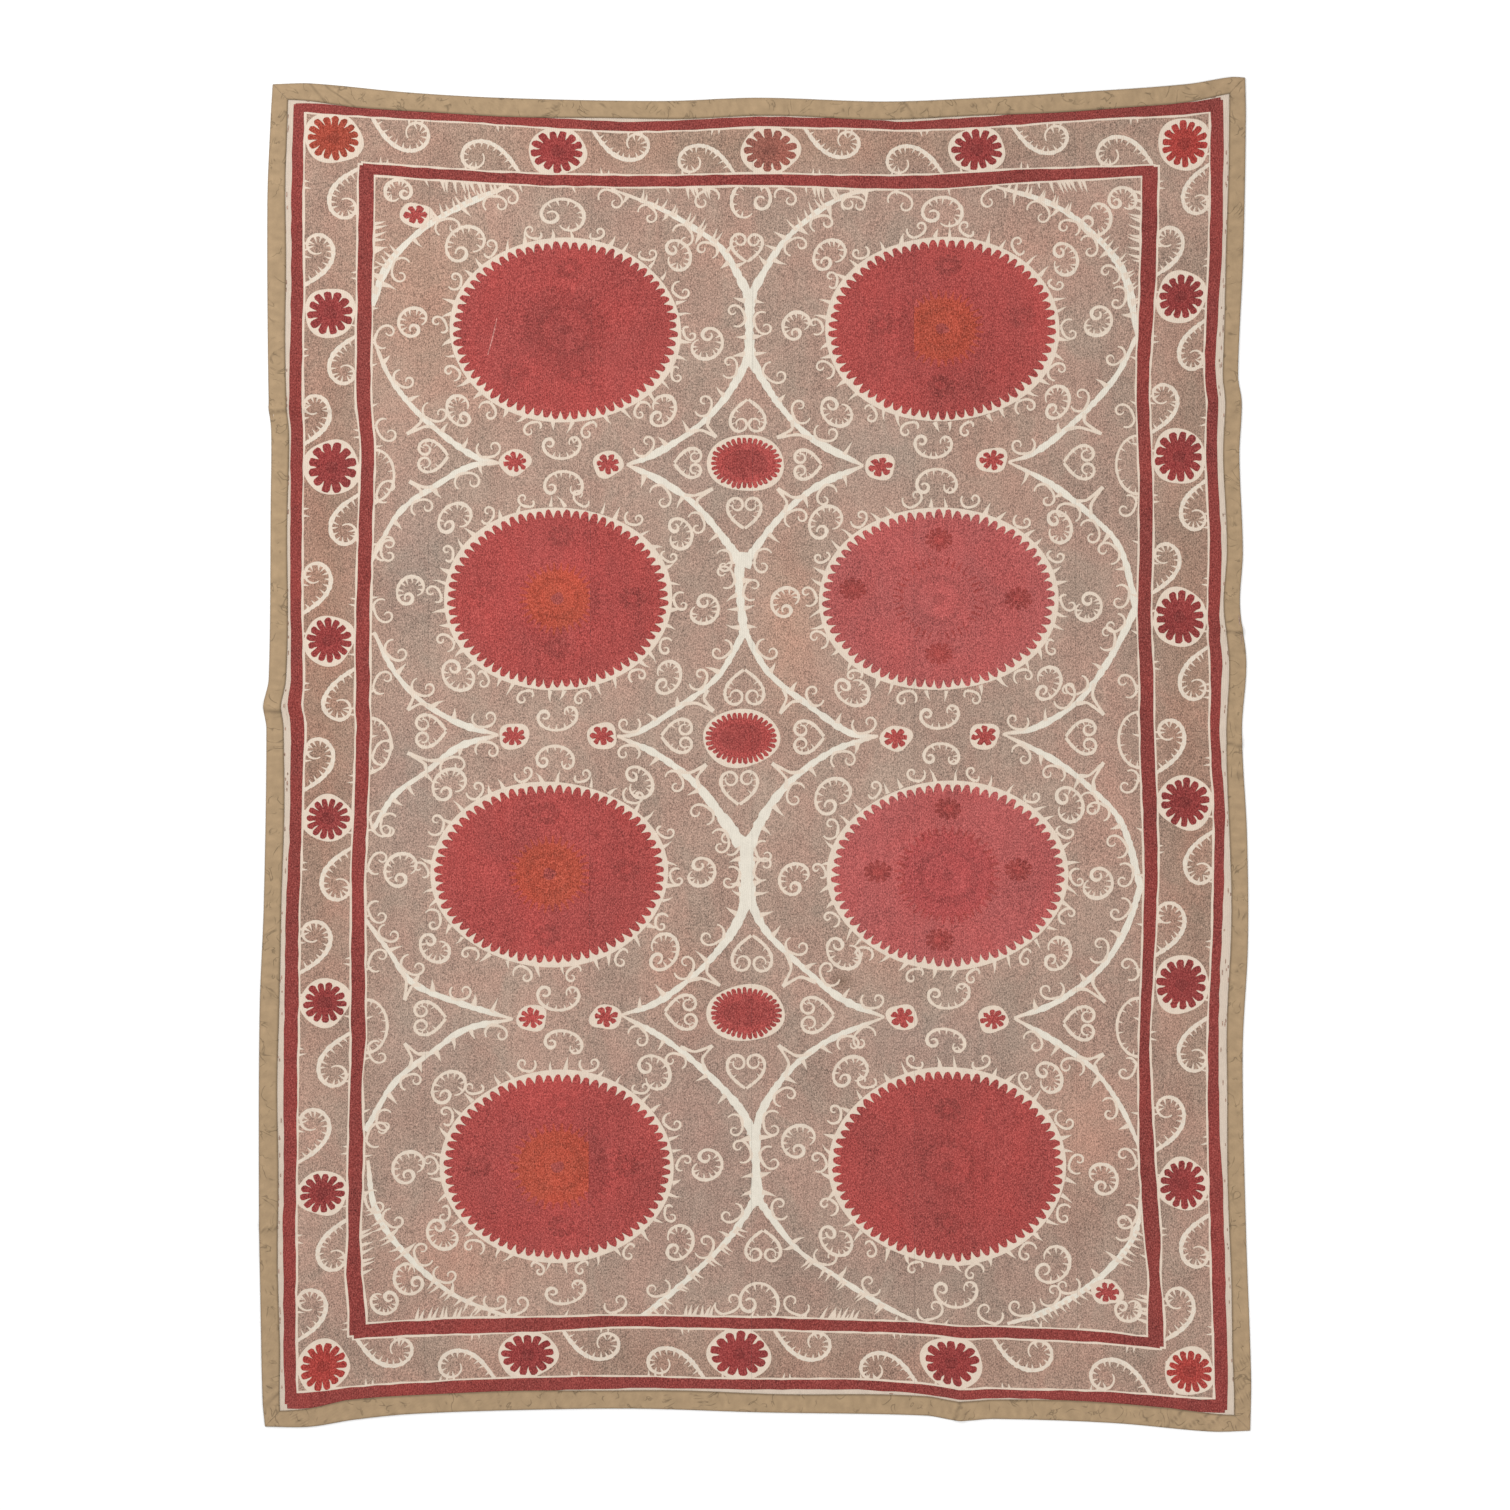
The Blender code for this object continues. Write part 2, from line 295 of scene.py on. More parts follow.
def patch(layer, thread, points):
    """Add one patch, whichever way round its points go."""
    twice_area = sum(p.cross(q) for p, q in zip(points, points[1:] + points[:1]))
    if abs(twice_area) > SMALLEST_AREA:
        patches.append(Patch(layer, thread, points if twice_area > 0 else points[::-1]))


def tremble(size):
    """A small step in any direction."""
    return Vector((hand.uniform(-size, size), hand.uniform(-size, size)))


def towards(heading):
    """The unit vector that points along this heading, in degrees."""
    return Vector((math.cos(math.radians(heading)), math.sin(math.radians(heading))))


def shade_of(thread, amount):
    """The same thread, lighter (over 1) or darker (under 1)."""
    return Thread(thread.red * amount, thread.green * amount, thread.blue * amount, thread.stitched)


print("ground thread", GROUND, "bare cloth", BARE)


# %% [markdown]
# ## Lines, curls and barbs
# A line of the pattern is a path and a width that changes along it. A path either runs smoothly
# through a few points, as a vine does, or is walked: it starts somewhere, heads some way and turns
# by so many degrees on each equal stretch of its length, which draws any scroll in one row.
# %% Paths
def through(points, step=7.0):
    """A smooth path through these points (Catmull-Rom), with a point about every step."""
    points = [Vector(p) for p in points]
    ends = [2 * points[0] - points[1], *points, 2 * points[-1] - points[-2]]
    path = []
    for before, start, end, after in zip(ends, ends[1:], ends[2:], ends[3:]):
        count = max(2, round((end - start).length / step))
        handles = start + (end - before) / 6, end - (after - start) / 6
        path += interpolate_bezier(start, *handles, end, count + 1)[:-1]
    path = [Vector(p[:2]) for p in path]
    return path + [points[-1]]


def walk(start, heading, length, turns, step=3.5):
    """A path that turns by turns[k] degrees on its k-th equal stretch. heading is in degrees."""
    count = max(len(turns) * 2, round(length / step))
    point, angle = Vector(start), math.radians(heading)
    path = [point.copy()]
    for k in range(count):
        spot = (k + 0.5) / count * len(turns) - 0.5
        low = min(max(int(math.floor(spot)), 0), len(turns) - 1)
        high = min(low + 1, len(turns) - 1)
        rate = turns[low] + (turns[high] - turns[low]) * min(max(spot - low, 0), 1)
        angle += math.radians(rate) * len(turns) / count
        point = point + Vector((math.cos(angle), math.sin(angle))) * length / count
        path.append(point.copy())
    return path


def heading_at(path, k):
    """The heading of a path at its point number k, in degrees."""
    ahead = path[min(k + 1, len(path) - 1)] - path[max(k - 1, 0)]
    return math.degrees(math.atan2(ahead.y, ahead.x))


def at_share(path, share):
    """The index of the point this share of the way along the path."""
    return min(max(round(share * (len(path) - 1)), 0), len(path) - 1)


def width_at(widths, share):
    """The width at this share of a line whose widths are spread evenly over it."""
    spot = min(max(share, 0), 1) * (len(widths) - 1)
    low = min(int(spot), len(widths) - 2)
    return widths[low] + (widths[low + 1] - widths[low]) * (spot - low)


print("a sample path has", len(walk((0, 0), 0, 100, (90,))), "points")


# %% Lines with a changing width, and barbs
THIN_LINE = 7
BROAD_LINE = 13
NARROWEST, WIDEST = 0.72, 1.08


def bare_line_shade(width):
    """Bare cloth is painted pinker and darker on a thin line, as painted shade and red light from the
    stitches beside it, and whiter on a broad one.
    """
    share = min(max((width - THIN_LINE) / (BROAD_LINE - THIN_LINE), 0), 1)
    return Thread(*[thin + (broad - thin) * share for thin, broad in zip(BARE, OPEN_BARE)])


def line(path, widths, layer=LINES, thread=None):
    """A line along path, of bare cloth unless a thread is named. widths are spread evenly over it."""
    sides = []
    for k, point in enumerate(path):
        width = width_at(widths, k / (len(path) - 1))
        across = towards(heading_at(path, k) + 90) * width / 2 * hand.uniform(NARROWEST, WIDEST)
        sides.append((point - across, point + across, thread or bare_line_shade(width)))
    for (right, left, shade), (next_right, next_left, _) in zip(sides, sides[1:]):
        patch(layer, shade, [right, next_right, next_left, left])


def barb(base, heading, length, width, lean=0.0, layer=LINES, thread=BARE):
    """A thorn of bare cloth on a line: it points along heading and bends by lean degrees."""
    tip = walk(base, heading, length * hand.uniform(0.85, 1.15), (lean / 2, lean / 2), step=length / 2)
    across = towards(heading + 90) * width / 2
    middle = tip[len(tip) // 2]
    root = Vector(base) - (tip[1] - tip[0]) * 0.25
    waist = across * 0.5
    patch(layer, thread, [root - across, middle - waist, tip[-1], middle + waist, root + across])


def barbs(path, side, count, length, width, start=0.0, end=1.0, lean=0.0):
    """A row of barbs along part of a path, on its left (side 1) or right (side -1)."""
    for k in range(count):
        share = start + (end - start) * (k + 0.5 + hand.uniform(-0.12, 0.12)) / count
        spot = at_share(path, share)
        heading = heading_at(path, spot) + side * 90
        barb(path[spot], heading + hand.uniform(-11, 11) - side * lean, length, width, -side * lean)


# %% [markdown]
# ## Scrolls
# Nearly every curl on the cloth is one of a few kinds, so each kind is a row: how it turns, how
# wide its line is and where its barbs stand. A ring scroll floats free and curls in at both ends.
# A smile is a flatter one. A comma springs from a line and winds up. A curl is a comma too small
# for barbs, and a heart's lobe is half of a heart.
# %% Kinds of scroll
Scroll = namedtuple("Scroll", "turns widths barbs start end barb_length barb_width")
RING = Scroll(
    (205, 130, 64, 50, 52, 62, 100), (4.0, 8.5, 7.5, 6.5, 7.5, 8.5, 7.0, 3.0), 8, 0.36, 0.95, 15.0, 6.5)
SMILE = Scroll(
    (235, 125, 52, 30, 36, 84, 165), (4.0, 8.0, 7.5, 6.5, 6.5, 7.5, 6.5, 3.0), 7, 0.38, 0.97, 12.5, 6.0)
COMMA = Scroll((6, 24, 48, 68, 96, 120), (8.0, 10.0, 10.0, 9.0, 8.0, 6.5, 3.0), 12, 0.05, 0.88, 16.0, 6.5)
CURL = Scroll((10, 54, 96, 155), (6.5, 6.0, 5.4, 5.2, 3.0), 0, 0, 0, 0, 0)
LOBE = Scroll((8, 40, 92, 125, 165), (7.0, 7.5, 7.5, 6.8, 6.2, 3.0), 4, 0.16, 0.60, 13.0, 4.6)


def draw_scroll(kind, path, hand_side):
    """The line and the barbs of a scroll on this path."""
    line(path, kind.widths)
    barbs(path, hand_side, kind.barbs, kind.barb_length, kind.barb_width, kind.start, kind.end)


def scroll(kind, start, heading, length, hand_side):
    """One scroll from start. hand_side is 1 where it winds to the left, -1 to the right."""
    turns = [turn * hand_side * hand.uniform(0.95, 1.05) for turn in kind.turns]
    draw_scroll(kind, walk(start, heading, length, turns), hand_side)


def free_scroll(kind, middle, size, back, hand_side, flat=1.0):
    """A scroll of this size across, its middle at middle and the back of its arc facing heading back.
    flat is its height from back to opening as a share of its width."""
    half_turn = sum(kind.turns[:3]) + kind.turns[3] / 2
    turns = [turn * hand_side * hand.uniform(0.95, 1.05) for turn in kind.turns]
    path = walk((0, 0), back - hand_side * (half_turn - 90), size * 2.9, turns)
    up, beside = towards(back), towards(back + 90)
    rise, reach = [p.dot(up) for p in path], [p.dot(beside) for p in path]
    scale = size / (max(reach) - min(reach))
    tall = flat * size / (max(rise) - min(rise))
    low, left = (max(rise) + min(rise)) / 2, (max(reach) + min(reach)) / 2
    placed = []
    for r, s in zip(rise, reach):
        placed.append(Vector(middle) + up * (r - low) * tall + beside * (s - left) * scale)
    draw_scroll(kind, placed, hand_side)


def curl(path, share, side, length, forward=True, tail=0.40, edge=3.0):
    """A curl that leaves a line at this share of its length, on its left (side 1) or right (-1).
    Its tail is a hook that leaves the other way. edge is half the width of the line."""
    spot = at_share(path, share)
    heading = heading_at(path, spot) + (0 if forward else 180)
    winding = side if forward else -side
    base = path[spot] + towards(heading_at(path, spot) + side * 90) * edge
    scroll(CURL, base, heading + winding * 12, length, winding)
    if tail:
        end = walk(base, heading + 180 - winding * 10, length * tail, (-winding * 40, -winding * 62))
        line(end, (6.5, 5.5, 3.5))


def heart(middle, size, tip):
    """Two lobes from one point. tip is the heading in which that point lies from the middle."""
    top = Vector(middle) + towards(tip) * size * 0.46
    for side in (1, -1):
        scroll(LOBE, top + towards(tip + side * 90) * 1.0, tip + 180 - side * 56, size * 1.82, side)


print("kinds of scroll with barbs:", sum(kind.barbs > 0 for kind in (RING, SMILE, COMMA, CURL, LOBE)))

# %% [markdown]
# ## Discs with teeth and petals
# The medallions and rosettes are fills inside a bare ring. Their rims are cut into teeth or
# petals, so one function goes round an ellipse and lays the same few points on every tooth.
# %% Toothed and petalled fills
# Points of one tooth: share of the pitch from its middle, and share of its height.
SAW_TOOTH = ((-0.5, 0.0), (-0.36, 0.52), (-0.22, 0.88), (0.0, 1.0), (0.22, 0.88), (0.36, 0.52))
PETAL = ((-0.5, 0.0), (-0.41, 0.35), (-0.37, 0.72), (-0.22, 0.95),
         (0.0, 1.0), (0.22, 0.95), (0.37, 0.72), (0.41, 0.35))
SPIKE = ((-0.5, 0.0), (-0.20, 0.30), (-0.10, 1.0), (0.10, 1.0), (0.20, 0.30))


def on_ellipse(middle, radii, angle):
    """The point of an ellipse's rim at this angle, in radians."""
    return middle + Vector((math.cos(angle) * radii[0], math.sin(angle) * radii[1]))


def even_angles(radii, count, turned=0.0):
    """Angles that divide an ellipse's rim into count nearly equal stretches."""
    fine = [turned + math.tau * k / 720 for k in range(721)]
    rim = [on_ellipse(Vector((0, 0)), radii, angle) for angle in fine]
    run = [0.0]
    for p, q in zip(rim, rim[1:]):
        run.append(run[-1] + (q - p).length)
    return [float(np.interp(run[-1] * k / count, run, fine)) for k in range(count + 1)]


def toothed(middle, radii, count, depth, tooth, layer, thread, turned=0.0, tremor=0.6, seam=None):
    """A fill whose rim of these outer radii is cut into count teeth, each depth deep.
    seam is a seam's run and the side of it on which the fill is kept."""
    angles = even_angles(radii, count, turned)
    points = []
    for start, end in zip(angles, angles[1:]):
        tall = hand.uniform(0.85, 1.1)
        for share, height in tooth:
            angle = start + (end - start) * (share + 0.5 + hand.uniform(-0.05, 0.05))
            inset = depth * (1 - height * tall)
            rim = on_ellipse(middle, (radii[0] - inset, radii[1] - inset), angle)
            points.append(rim + tremble(tremor))
    patch(layer, thread, kept_beside(points, *seam) if seam else points)


def kept_beside(points, seam, side):
    """The part of a patch that lies on this side of a seam: 1 keeps its right, -1 its left."""
    kept = []
    for before, point in zip(points[-1:] + points, points):
        if (before.x - seam) * (point.x - seam) < 0:
            kept.append(before.lerp(point, (seam - before.x) / (point.x - before.x)))
        if (point.x - seam) * side >= 0:
            kept.append(point)
    return kept


def disc(middle, radii, layer, thread, tremor=0.8, points=60):
    """A nearly even disc, its rim rippled a little."""
    swell = [hand.uniform(0, math.tau) for _ in range(3)]
    rim = []
    for k in range(points):
        angle = math.tau * k / points
        ripple = sum(math.sin(angle * (n + 2) + swell[n]) for n in range(3)) * tremor
        rim.append(on_ellipse(middle, (radii[0] + ripple, radii[1] + ripple), angle))
    patch(layer, thread, rim)


print("points on a tooth", len(SAW_TOOTH), "on a petal", len(PETAL), "on a spike", len(SPIKE))

# %% [markdown]
# ## Four red bands
# Two frames of red bands hold the border between them. The maker drew them along the threads of
# the cloth by eye, so they swell and wander. Each row says, at this run along the side, how deep
# the band's middle lies from the edge and how wide it is. Runs go up the sides and to the right.
# %% Measures of the bands
ACROSS, UP = WIDTH / MM, HEIGHT / MM
CREAM_LINE = 4.2
STITCH_REACH = 2.6
CORNER_OVERLAP = 7
BAND_STEP = 24
BANDS = {
    ("left", "outer"): (
        (216, 53, 17), (526, 56, 18), (836, 57, 20), (992, 53, 19), (1147, 57, 17), (1302, 58, 19),
        (1380, 60, 21), (1458, 55, 19), (1613, 50, 16), (1924, 50, 19), (2236, 56, 17), (2549, 54, 15),
    ),
    ("left", "inner"): (
        (216, 181, 25), (293, 174, 23), (371, 175, 15), (526, 178, 23), (681, 178, 15), (759, 182, 21),
        (1069, 177, 19), (1380, 186, 21), (1535, 181, 21), (1924, 190, 20), (2002, 182, 21),
        (2392, 187, 23),
    ),
    ("right", "outer"): (
        (138, 57, 19), (448, 58, 22), (603, 61, 18), (914, 62, 12), (1225, 52, 16), (1380, 57, 14),
        (1535, 60, 18), (1613, 54, 19), (1924, 59, 17), (2080, 60, 17), (2314, 55, 20), (2549, 56, 19),
    ),
    ("right", "inner"): (
        (216, 182, 25), (293, 183, 14), (371, 186, 26), (526, 196, 24), (759, 200, 14),
        (1069, 189, 20), (1225, 190, 22), (1535, 198, 20), (1846, 193, 20), (2002, 200, 18),
        (2236, 190, 24), (2392, 187, 24),
    ),
    ("top", "outer"): (
        (147, 48, 12), (224, 44, 16), (378, 44, 13), (687, 56, 15), (842, 53, 15), (1152, 49, 15),
        (1230, 54, 13), (1385, 52, 17), (1617, 47, 16), (1772, 49, 18),
    ),
    ("top", "inner"): (
        (224, 161, 16), (378, 166, 16), (532, 171, 17), (997, 173, 17), (1307, 175, 23),
        (1462, 169, 21), (1694, 169, 14),
    ),
    ("bottom", "outer"): (
        (71, 52, 25), (301, 51, 21), (455, 54, 24), (610, 56, 22), (842, 58, 15), (1152, 62, 15),
        (1307, 54, 15), (1462, 52, 12), (1617, 51, 16), (1772, 49, 20),
    ),
    ("bottom", "inner"): (
        (224, 178, 22), (378, 180, 25), (532, 181, 23), (687, 187, 17), (997, 187, 18),
        (1307, 180, 16), (1617, 172, 16), (1694, 166, 14),
    ),
}
SIDES = ("left", "top", "right", "bottom")
LONG_SIDE = {"left": UP, "right": UP, "top": ACROSS, "bottom": ACROSS}
print("flat cloth", round(ACROSS), "by", round(UP), "mm")


# %% Lay the bands
def side_place(side, run, depth):
    """Where this run along a side and this depth from its edge lie on the flat cloth."""
    places = {
        "left": (depth, run), "right": (ACROSS - depth, run),
        "top": (run, UP - depth), "bottom": (run, depth),
    }
    return places[side]


def side_point(side, run, depth):
    """The same, as one point to draw with."""
    return Vector(side_place(side, run, depth))


def band_at(side, ring, run):
    """The depth of a band's middle and its width at this run, with the reach of its outer stitches."""
    runs, depths, widths = zip(*BANDS[side, ring])
    return float(np.interp(run, runs, depths)), float(np.interp(run, runs, widths)) + 2 * STITCH_REACH


def band_ends(side, ring):
    """Where a band starts and ends: in the middle of the two bands that it meets."""
    upright = side in ("left", "right")
    low, high = ("bottom", "top") if upright else ("left", "right")
    run_there = {"left": 0, "bottom": 0, "right": ACROSS, "top": UP}[side]
    return band_at(low, ring, run_there)[0], LONG_SIDE[side] - band_at(high, ring, run_there)[0]


def band_rim(side, ring, runs, way, more):
    """The depths of a band's outer rim (way -1) or inner rim (way 1), sewn a little unevenly."""
    depths = []
    for run in runs:
        middle, width = band_at(side, ring, run)
        depths.append(middle + way * width / 2 + way * more + hand.uniform(-1, 1))
    return depths


def strip_between(side, runs, near, far, layer, thread):
    """A strip along a side between two depths, given for each run."""
    for k in range(len(runs) - 1):
        corners = [side_point(side, runs[k], near[k]), side_point(side, runs[k + 1], near[k + 1]),
                   side_point(side, runs[k + 1], far[k + 1]), side_point(side, runs[k], far[k])]
        patch(layer, thread, corners)


for side in SIDES:
    for ring in ("outer", "inner"):
        start, end = band_ends(side, ring)
        for layer, thread, more in ((LINES, BARE, CREAM_LINE), (FILLS, BAND_RED, 0)):
            first, last = start - CORNER_OVERLAP - more, end + CORNER_OVERLAP + more
            runs = list(np.linspace(first, last, int((last - first) / BAND_STEP)))
            near = band_rim(side, ring, runs, -1, more)
            far = band_rim(side, ring, runs, 1, more)
            strip_between(side, runs, near, far, layer, thread)
print(len(patches), "patches with the bands")

# %% [markdown]
# ## The bare strip inside the binding
# Outside the outer bands the cloth was left bare. It shows as a cream strip beside the binding,
# wider at the sides than at the ends, with a few stray stitches on it.
# %% Leave the edge strip bare
STRIP_START = 6
STRAY_STITCHES = {"left": 64, "right": 64, "top": 12, "bottom": 12}
WORN_BARE = shade_of(BARE, 0.88)
for side in SIDES:
    runs = list(np.linspace(STRIP_START, LONG_SIDE[side] - STRIP_START, 60))
    depths = [band_at(side, "outer", run)[0] for run in runs]
    strip_between(side, runs, [STRIP_START] * len(runs), depths, LINES, WORN_BARE)
    for _ in range(STRAY_STITCHES[side]):
        run = hand.uniform(60, LONG_SIDE[side] - 60)
        depth, width = band_at(side, "outer", run)
        inner_edge = depth - width / 2 - CREAM_LINE
        middle = side_point(side, run, hand.uniform(34, max(35, inner_edge)))
        along = (side_point(side, run + 1, depth) - side_point(side, run, depth)) * hand.uniform(2, 5)
        line([middle - along, middle, middle + along], (1.5, 2.5, 1.5), FILLS, GROUND)
print(len(patches), "patches with the edge strip")

# %% [markdown]
# ## The border
# Round flowers stand in the border, one in each corner. Between each two neighbours grow two
# comma scrolls, one from each of the lines that hold the border: turned half round, the pair
# looks the same. So a row only names where the flowers stand, and a rule draws all the scrolls.
# %% Places of the border's flowers
Flower = namedtuple("Flower", "run petals thread")
TURNED = {"left": 90, "top": 0, "right": -90, "bottom": 180}
ONWARD = {"left": 1, "top": 1, "right": -1, "bottom": -1}
BORDER_FLOWERS = {
    side: [Flower(*row) for row in rows] for side, rows in {
        "left": (
            (115, 14, SCARLET), (456, 13, DEEP_RED), (830, 13, DEEP_RED), (1190, 14, DEEP_RED),
            (1538, 14, DEEP_RED), (1877, 12, DEEP_RED), (2180, 12, DEEP_RED),
        ),
        "top": (
            (122, 15, shade_of(ORANGE, 0.82)), (559, 13, DEEP_RED), (976, 13, BROWNED),
            (1382, 13, DEEP_RED),
        ),
        "right": (
            (114, 14, SCARLET), (478, 14, DEEP_RED), (866, 14, DEEP_RED), (1220, 14, DEEP_RED),
            (1580, 14, DEEP_RED), (1893, 13, DEEP_RED), (2205, 13, DEEP_RED), (2508, 14, SCARLET),
        ),
        "bottom": (
            (509, 13, DEEP_RED), (918, 13, DEEP_RED), (1330, 13, DEEP_RED),
        ),
    }.items()
}
# A corner flower is drawn with one side and ends the row of the other side too.
SHARED_CORNERS = {"left": (2518,), "top": (1795,), "right": (), "bottom": (115, 1795)}
print(sum(len(flowers) for flowers in BORDER_FLOWERS.values()), "flowers in the border")


# %% Flowers and commas of the border
COMMA_LEAN = 60
COMMA_LENGTH = 236
# Thorns between two commas. way is 1 where they grow from the outer band's line and -1 where they
# grow from the inner one's. share says where, as a share of the gap from its middle.
Tuft = namedtuple("Tuft", "way share thorns")
TUFTS = (Tuft(-1, -0.26, 2), Tuft(1, 0.26, 2), Tuft(-1, 0.12, 2),
         Tuft(1, -0.12, 3), Tuft(-1, 0.44, 1), Tuft(1, -0.44, 1))


def border_edges(side, run):
    """The two depths between which the border lies: the cream lines of the outer and the inner band."""
    outer, outer_width = band_at(side, "outer", run)
    inner, inner_width = band_at(side, "inner", run)
    return outer + outer_width / 2 + CREAM_LINE, inner - inner_width / 2 - CREAM_LINE


def border_flower(side, flower):
    """A round flower in its bare ring, as tall as the border between its two lines is deep."""
    near, far = border_edges(side, flower.run)
    middle = side_point(side, flower.run, (near + far) / 2)
    upright = side in ("left", "right")
    tall = (far - near) / 2 + (2 if upright else 5) + (0 if flower.thread in (DEEP_RED, BROWNED) else 2)
    long = tall * (hand.uniform(0.98, 1.04) if upright else hand.uniform(1.12, 1.20))
    radii = (tall, long) if upright else (long, tall)
    disc(middle, radii, LINES, BARE, tremor=1.6)
    inside = [radius - hand.uniform(5, 7) for radius in radii]
    toothed(middle, inside, flower.petals, 19, PETAL, FILLS, flower.thread, hand.uniform(0, 1))
    disc(middle, (13, 12), DETAILS, shade_of(flower.thread, 0.8), points=16)


def comma_pair(side, start, end):
    """Two commas between the flowers that stand at these runs, start to end clockwise."""
    gap, onward = abs(end - start), ONWARD[side]
    # The further apart two flowers stand, the larger are the commas between them.
    size = 0.5 + gap / 860
    middle = (start + end) / 2
    for way, turned in ((-1, 0), (1, 180)):
        run = middle + way * onward * (gap * 0.28 + 22)
        near, far = border_edges(side, run)
        base = side_point(side, run, near - 3 if way < 0 else far + 3)
        scroll(COMMA, base, TURNED[side] + turned - COMMA_LEAN, COMMA_LENGTH * size, 1)
    for way, share, thorns in TUFTS:
        run = middle + share * onward * gap
        near, far = border_edges(side, run)
        for k in range(thorns):
            spot = run + (k - thorns / 2) * 13
            inward = TURNED[side] - 90
            depth, heading = (far + 1, inward + 180) if way < 0 else (near - 1, inward)
            barb(side_point(side, spot, depth), heading + hand.uniform(-14, 14), 14 - 3 * (k % 2), 5.5)


for side in SIDES:
    for flower in BORDER_FLOWERS[side]:
        border_flower(side, flower)
for side in SIDES:
    runs = sorted([flower.run for flower in BORDER_FLOWERS[side]] + list(SHARED_CORNERS[side]))
    runs = runs[::ONWARD[side]]
    for start, end in zip(runs, runs[1:]):
        comma_pair(side, start, end)
print(len(patches), "patches with the border")

# %% [markdown]
# ## Eight medallions
# Two columns of four large red ovals fill the field. Each lies in a bare ring, its rim is cut
# into teeth, and thorns and small curls grow out of the ring. Places in the field are given in
# millimetres from the middle of the cloth as it lies, and home() takes them to the flat cloth.
# Inside, most have a second, finely spiked disc and small flowers, sewn in another red. Where a
# disc crosses a seam, its threads end, because each length of cloth was sewn by itself.
# %% Places and colours of the medallions
WORN_RED = Thread(0.372, 0.080, 0.074, 1)
FRESH_RED = Thread(0.350, 0.058, 0.056, 1)
SCRATCHED = Thread(0.480, 0.200, 0.170, 1)
Medallion = namedtuple("Medallion", "x y across up body heart heart_size cut flowers")
MEDALLIONS = [Medallion(*row) for row in (
    (-370, 828, 227, 185, CRIMSON, shade_of(CRIMSON, 0.85), 94, 0, ((8, 123), (-98, -86), (20, -88))),
    (365, 830, 230, 187, CRIMSON, ORANGE, 82, -1, ((12, 128), (158, 18), (-4, -113), (-118, 10))),
    (-385, 304, 223, 182, CRIMSON, ORANGE, 76, 1, ((6, 123), (-150, 16), (0, -98), (146, 0))),
    (358, 303, 235, 181, WORN_RED, shade_of(WORN_RED, 0.96), 86, 0,
     ((-168, 20), (156, 0), (0, 117), (0, -107))),
    (-401, -233, 231, 182, CRIMSON, ORANGE, 80, 1, ((150, 8), (-6, 118), (-4, -120))),
    (376, -235, 234, 185, WORN_RED, FRESH_RED, 100, 0, ((-137, 6), (137, 10), (0, 130), (-16, -127))),
    (-385, -804, 227, 192, CRIMSON, ORANGE, 92, 1, ((8, 125), (-152, 2), (134, 2), (8, -119))),
    (376, -803, 232, 194, CRIMSON, shade_of(CRIMSON, 0.93), 92, 0, ((0, 112), (0, -112))),
)]
DISC_DOT = Thread(0.300, 0.052, 0.042, 1)
SEAMS = [(FIRST_SEAM + k * LOOM_WIDTH) / MM for k in range(PANELS - 1)]
# The rings of spikes in a medallion's heart: their radii and their shade as shares of the heart's.
HeartRing = namedtuple("HeartRing", "across up teeth depth shade")
HEART_RINGS = (HeartRing(1, 0.95, 32, 18, 1), HeartRing(0.66, 0.62, 26, 9, 0.86),
               HeartRing(0.52, 0.48, 20, 7, 1.04))
print("seams at", [round(seam) for seam in SEAMS], "mm")


# %% Lay the medallions
def home(x, y):
    """The flat point that lies at this place, given in millimetres from the middle of the cloth."""
    return flat_place(x, y)


def ring_of(middle, radii, count=150):
    """The rim of an ellipse as a closed path."""
    return [on_ellipse(middle, radii, math.tau * k / count) for k in range(count + 1)]


def thorn(base, heading, sway, lengths, widths):
    """A barb drawn by hand: its heading, length, width and lean vary between these limits."""
    heading += hand.uniform(-sway, sway)
    barb(base, heading, hand.uniform(*lengths), hand.uniform(*widths), hand.uniform(-40, 40))


def ring_growth(path, places):
    """Thorns and curls round a ring: two thorns after each curl."""
    for k in range(places):
        share = (k + hand.uniform(-0.12, 0.12)) / places % 1
        spot = at_share(path, share)
        if k % 3 == 0:
            length = hand.uniform(54, 68)
            forward = hand.random() < 0.35
            curl(path, share, -1, length, forward, tail=hand.choice((0.25, 0.45)))
        else:
            thorn(path[spot], heading_at(path, spot) - 90, 22, (20, 27), (7, 11))


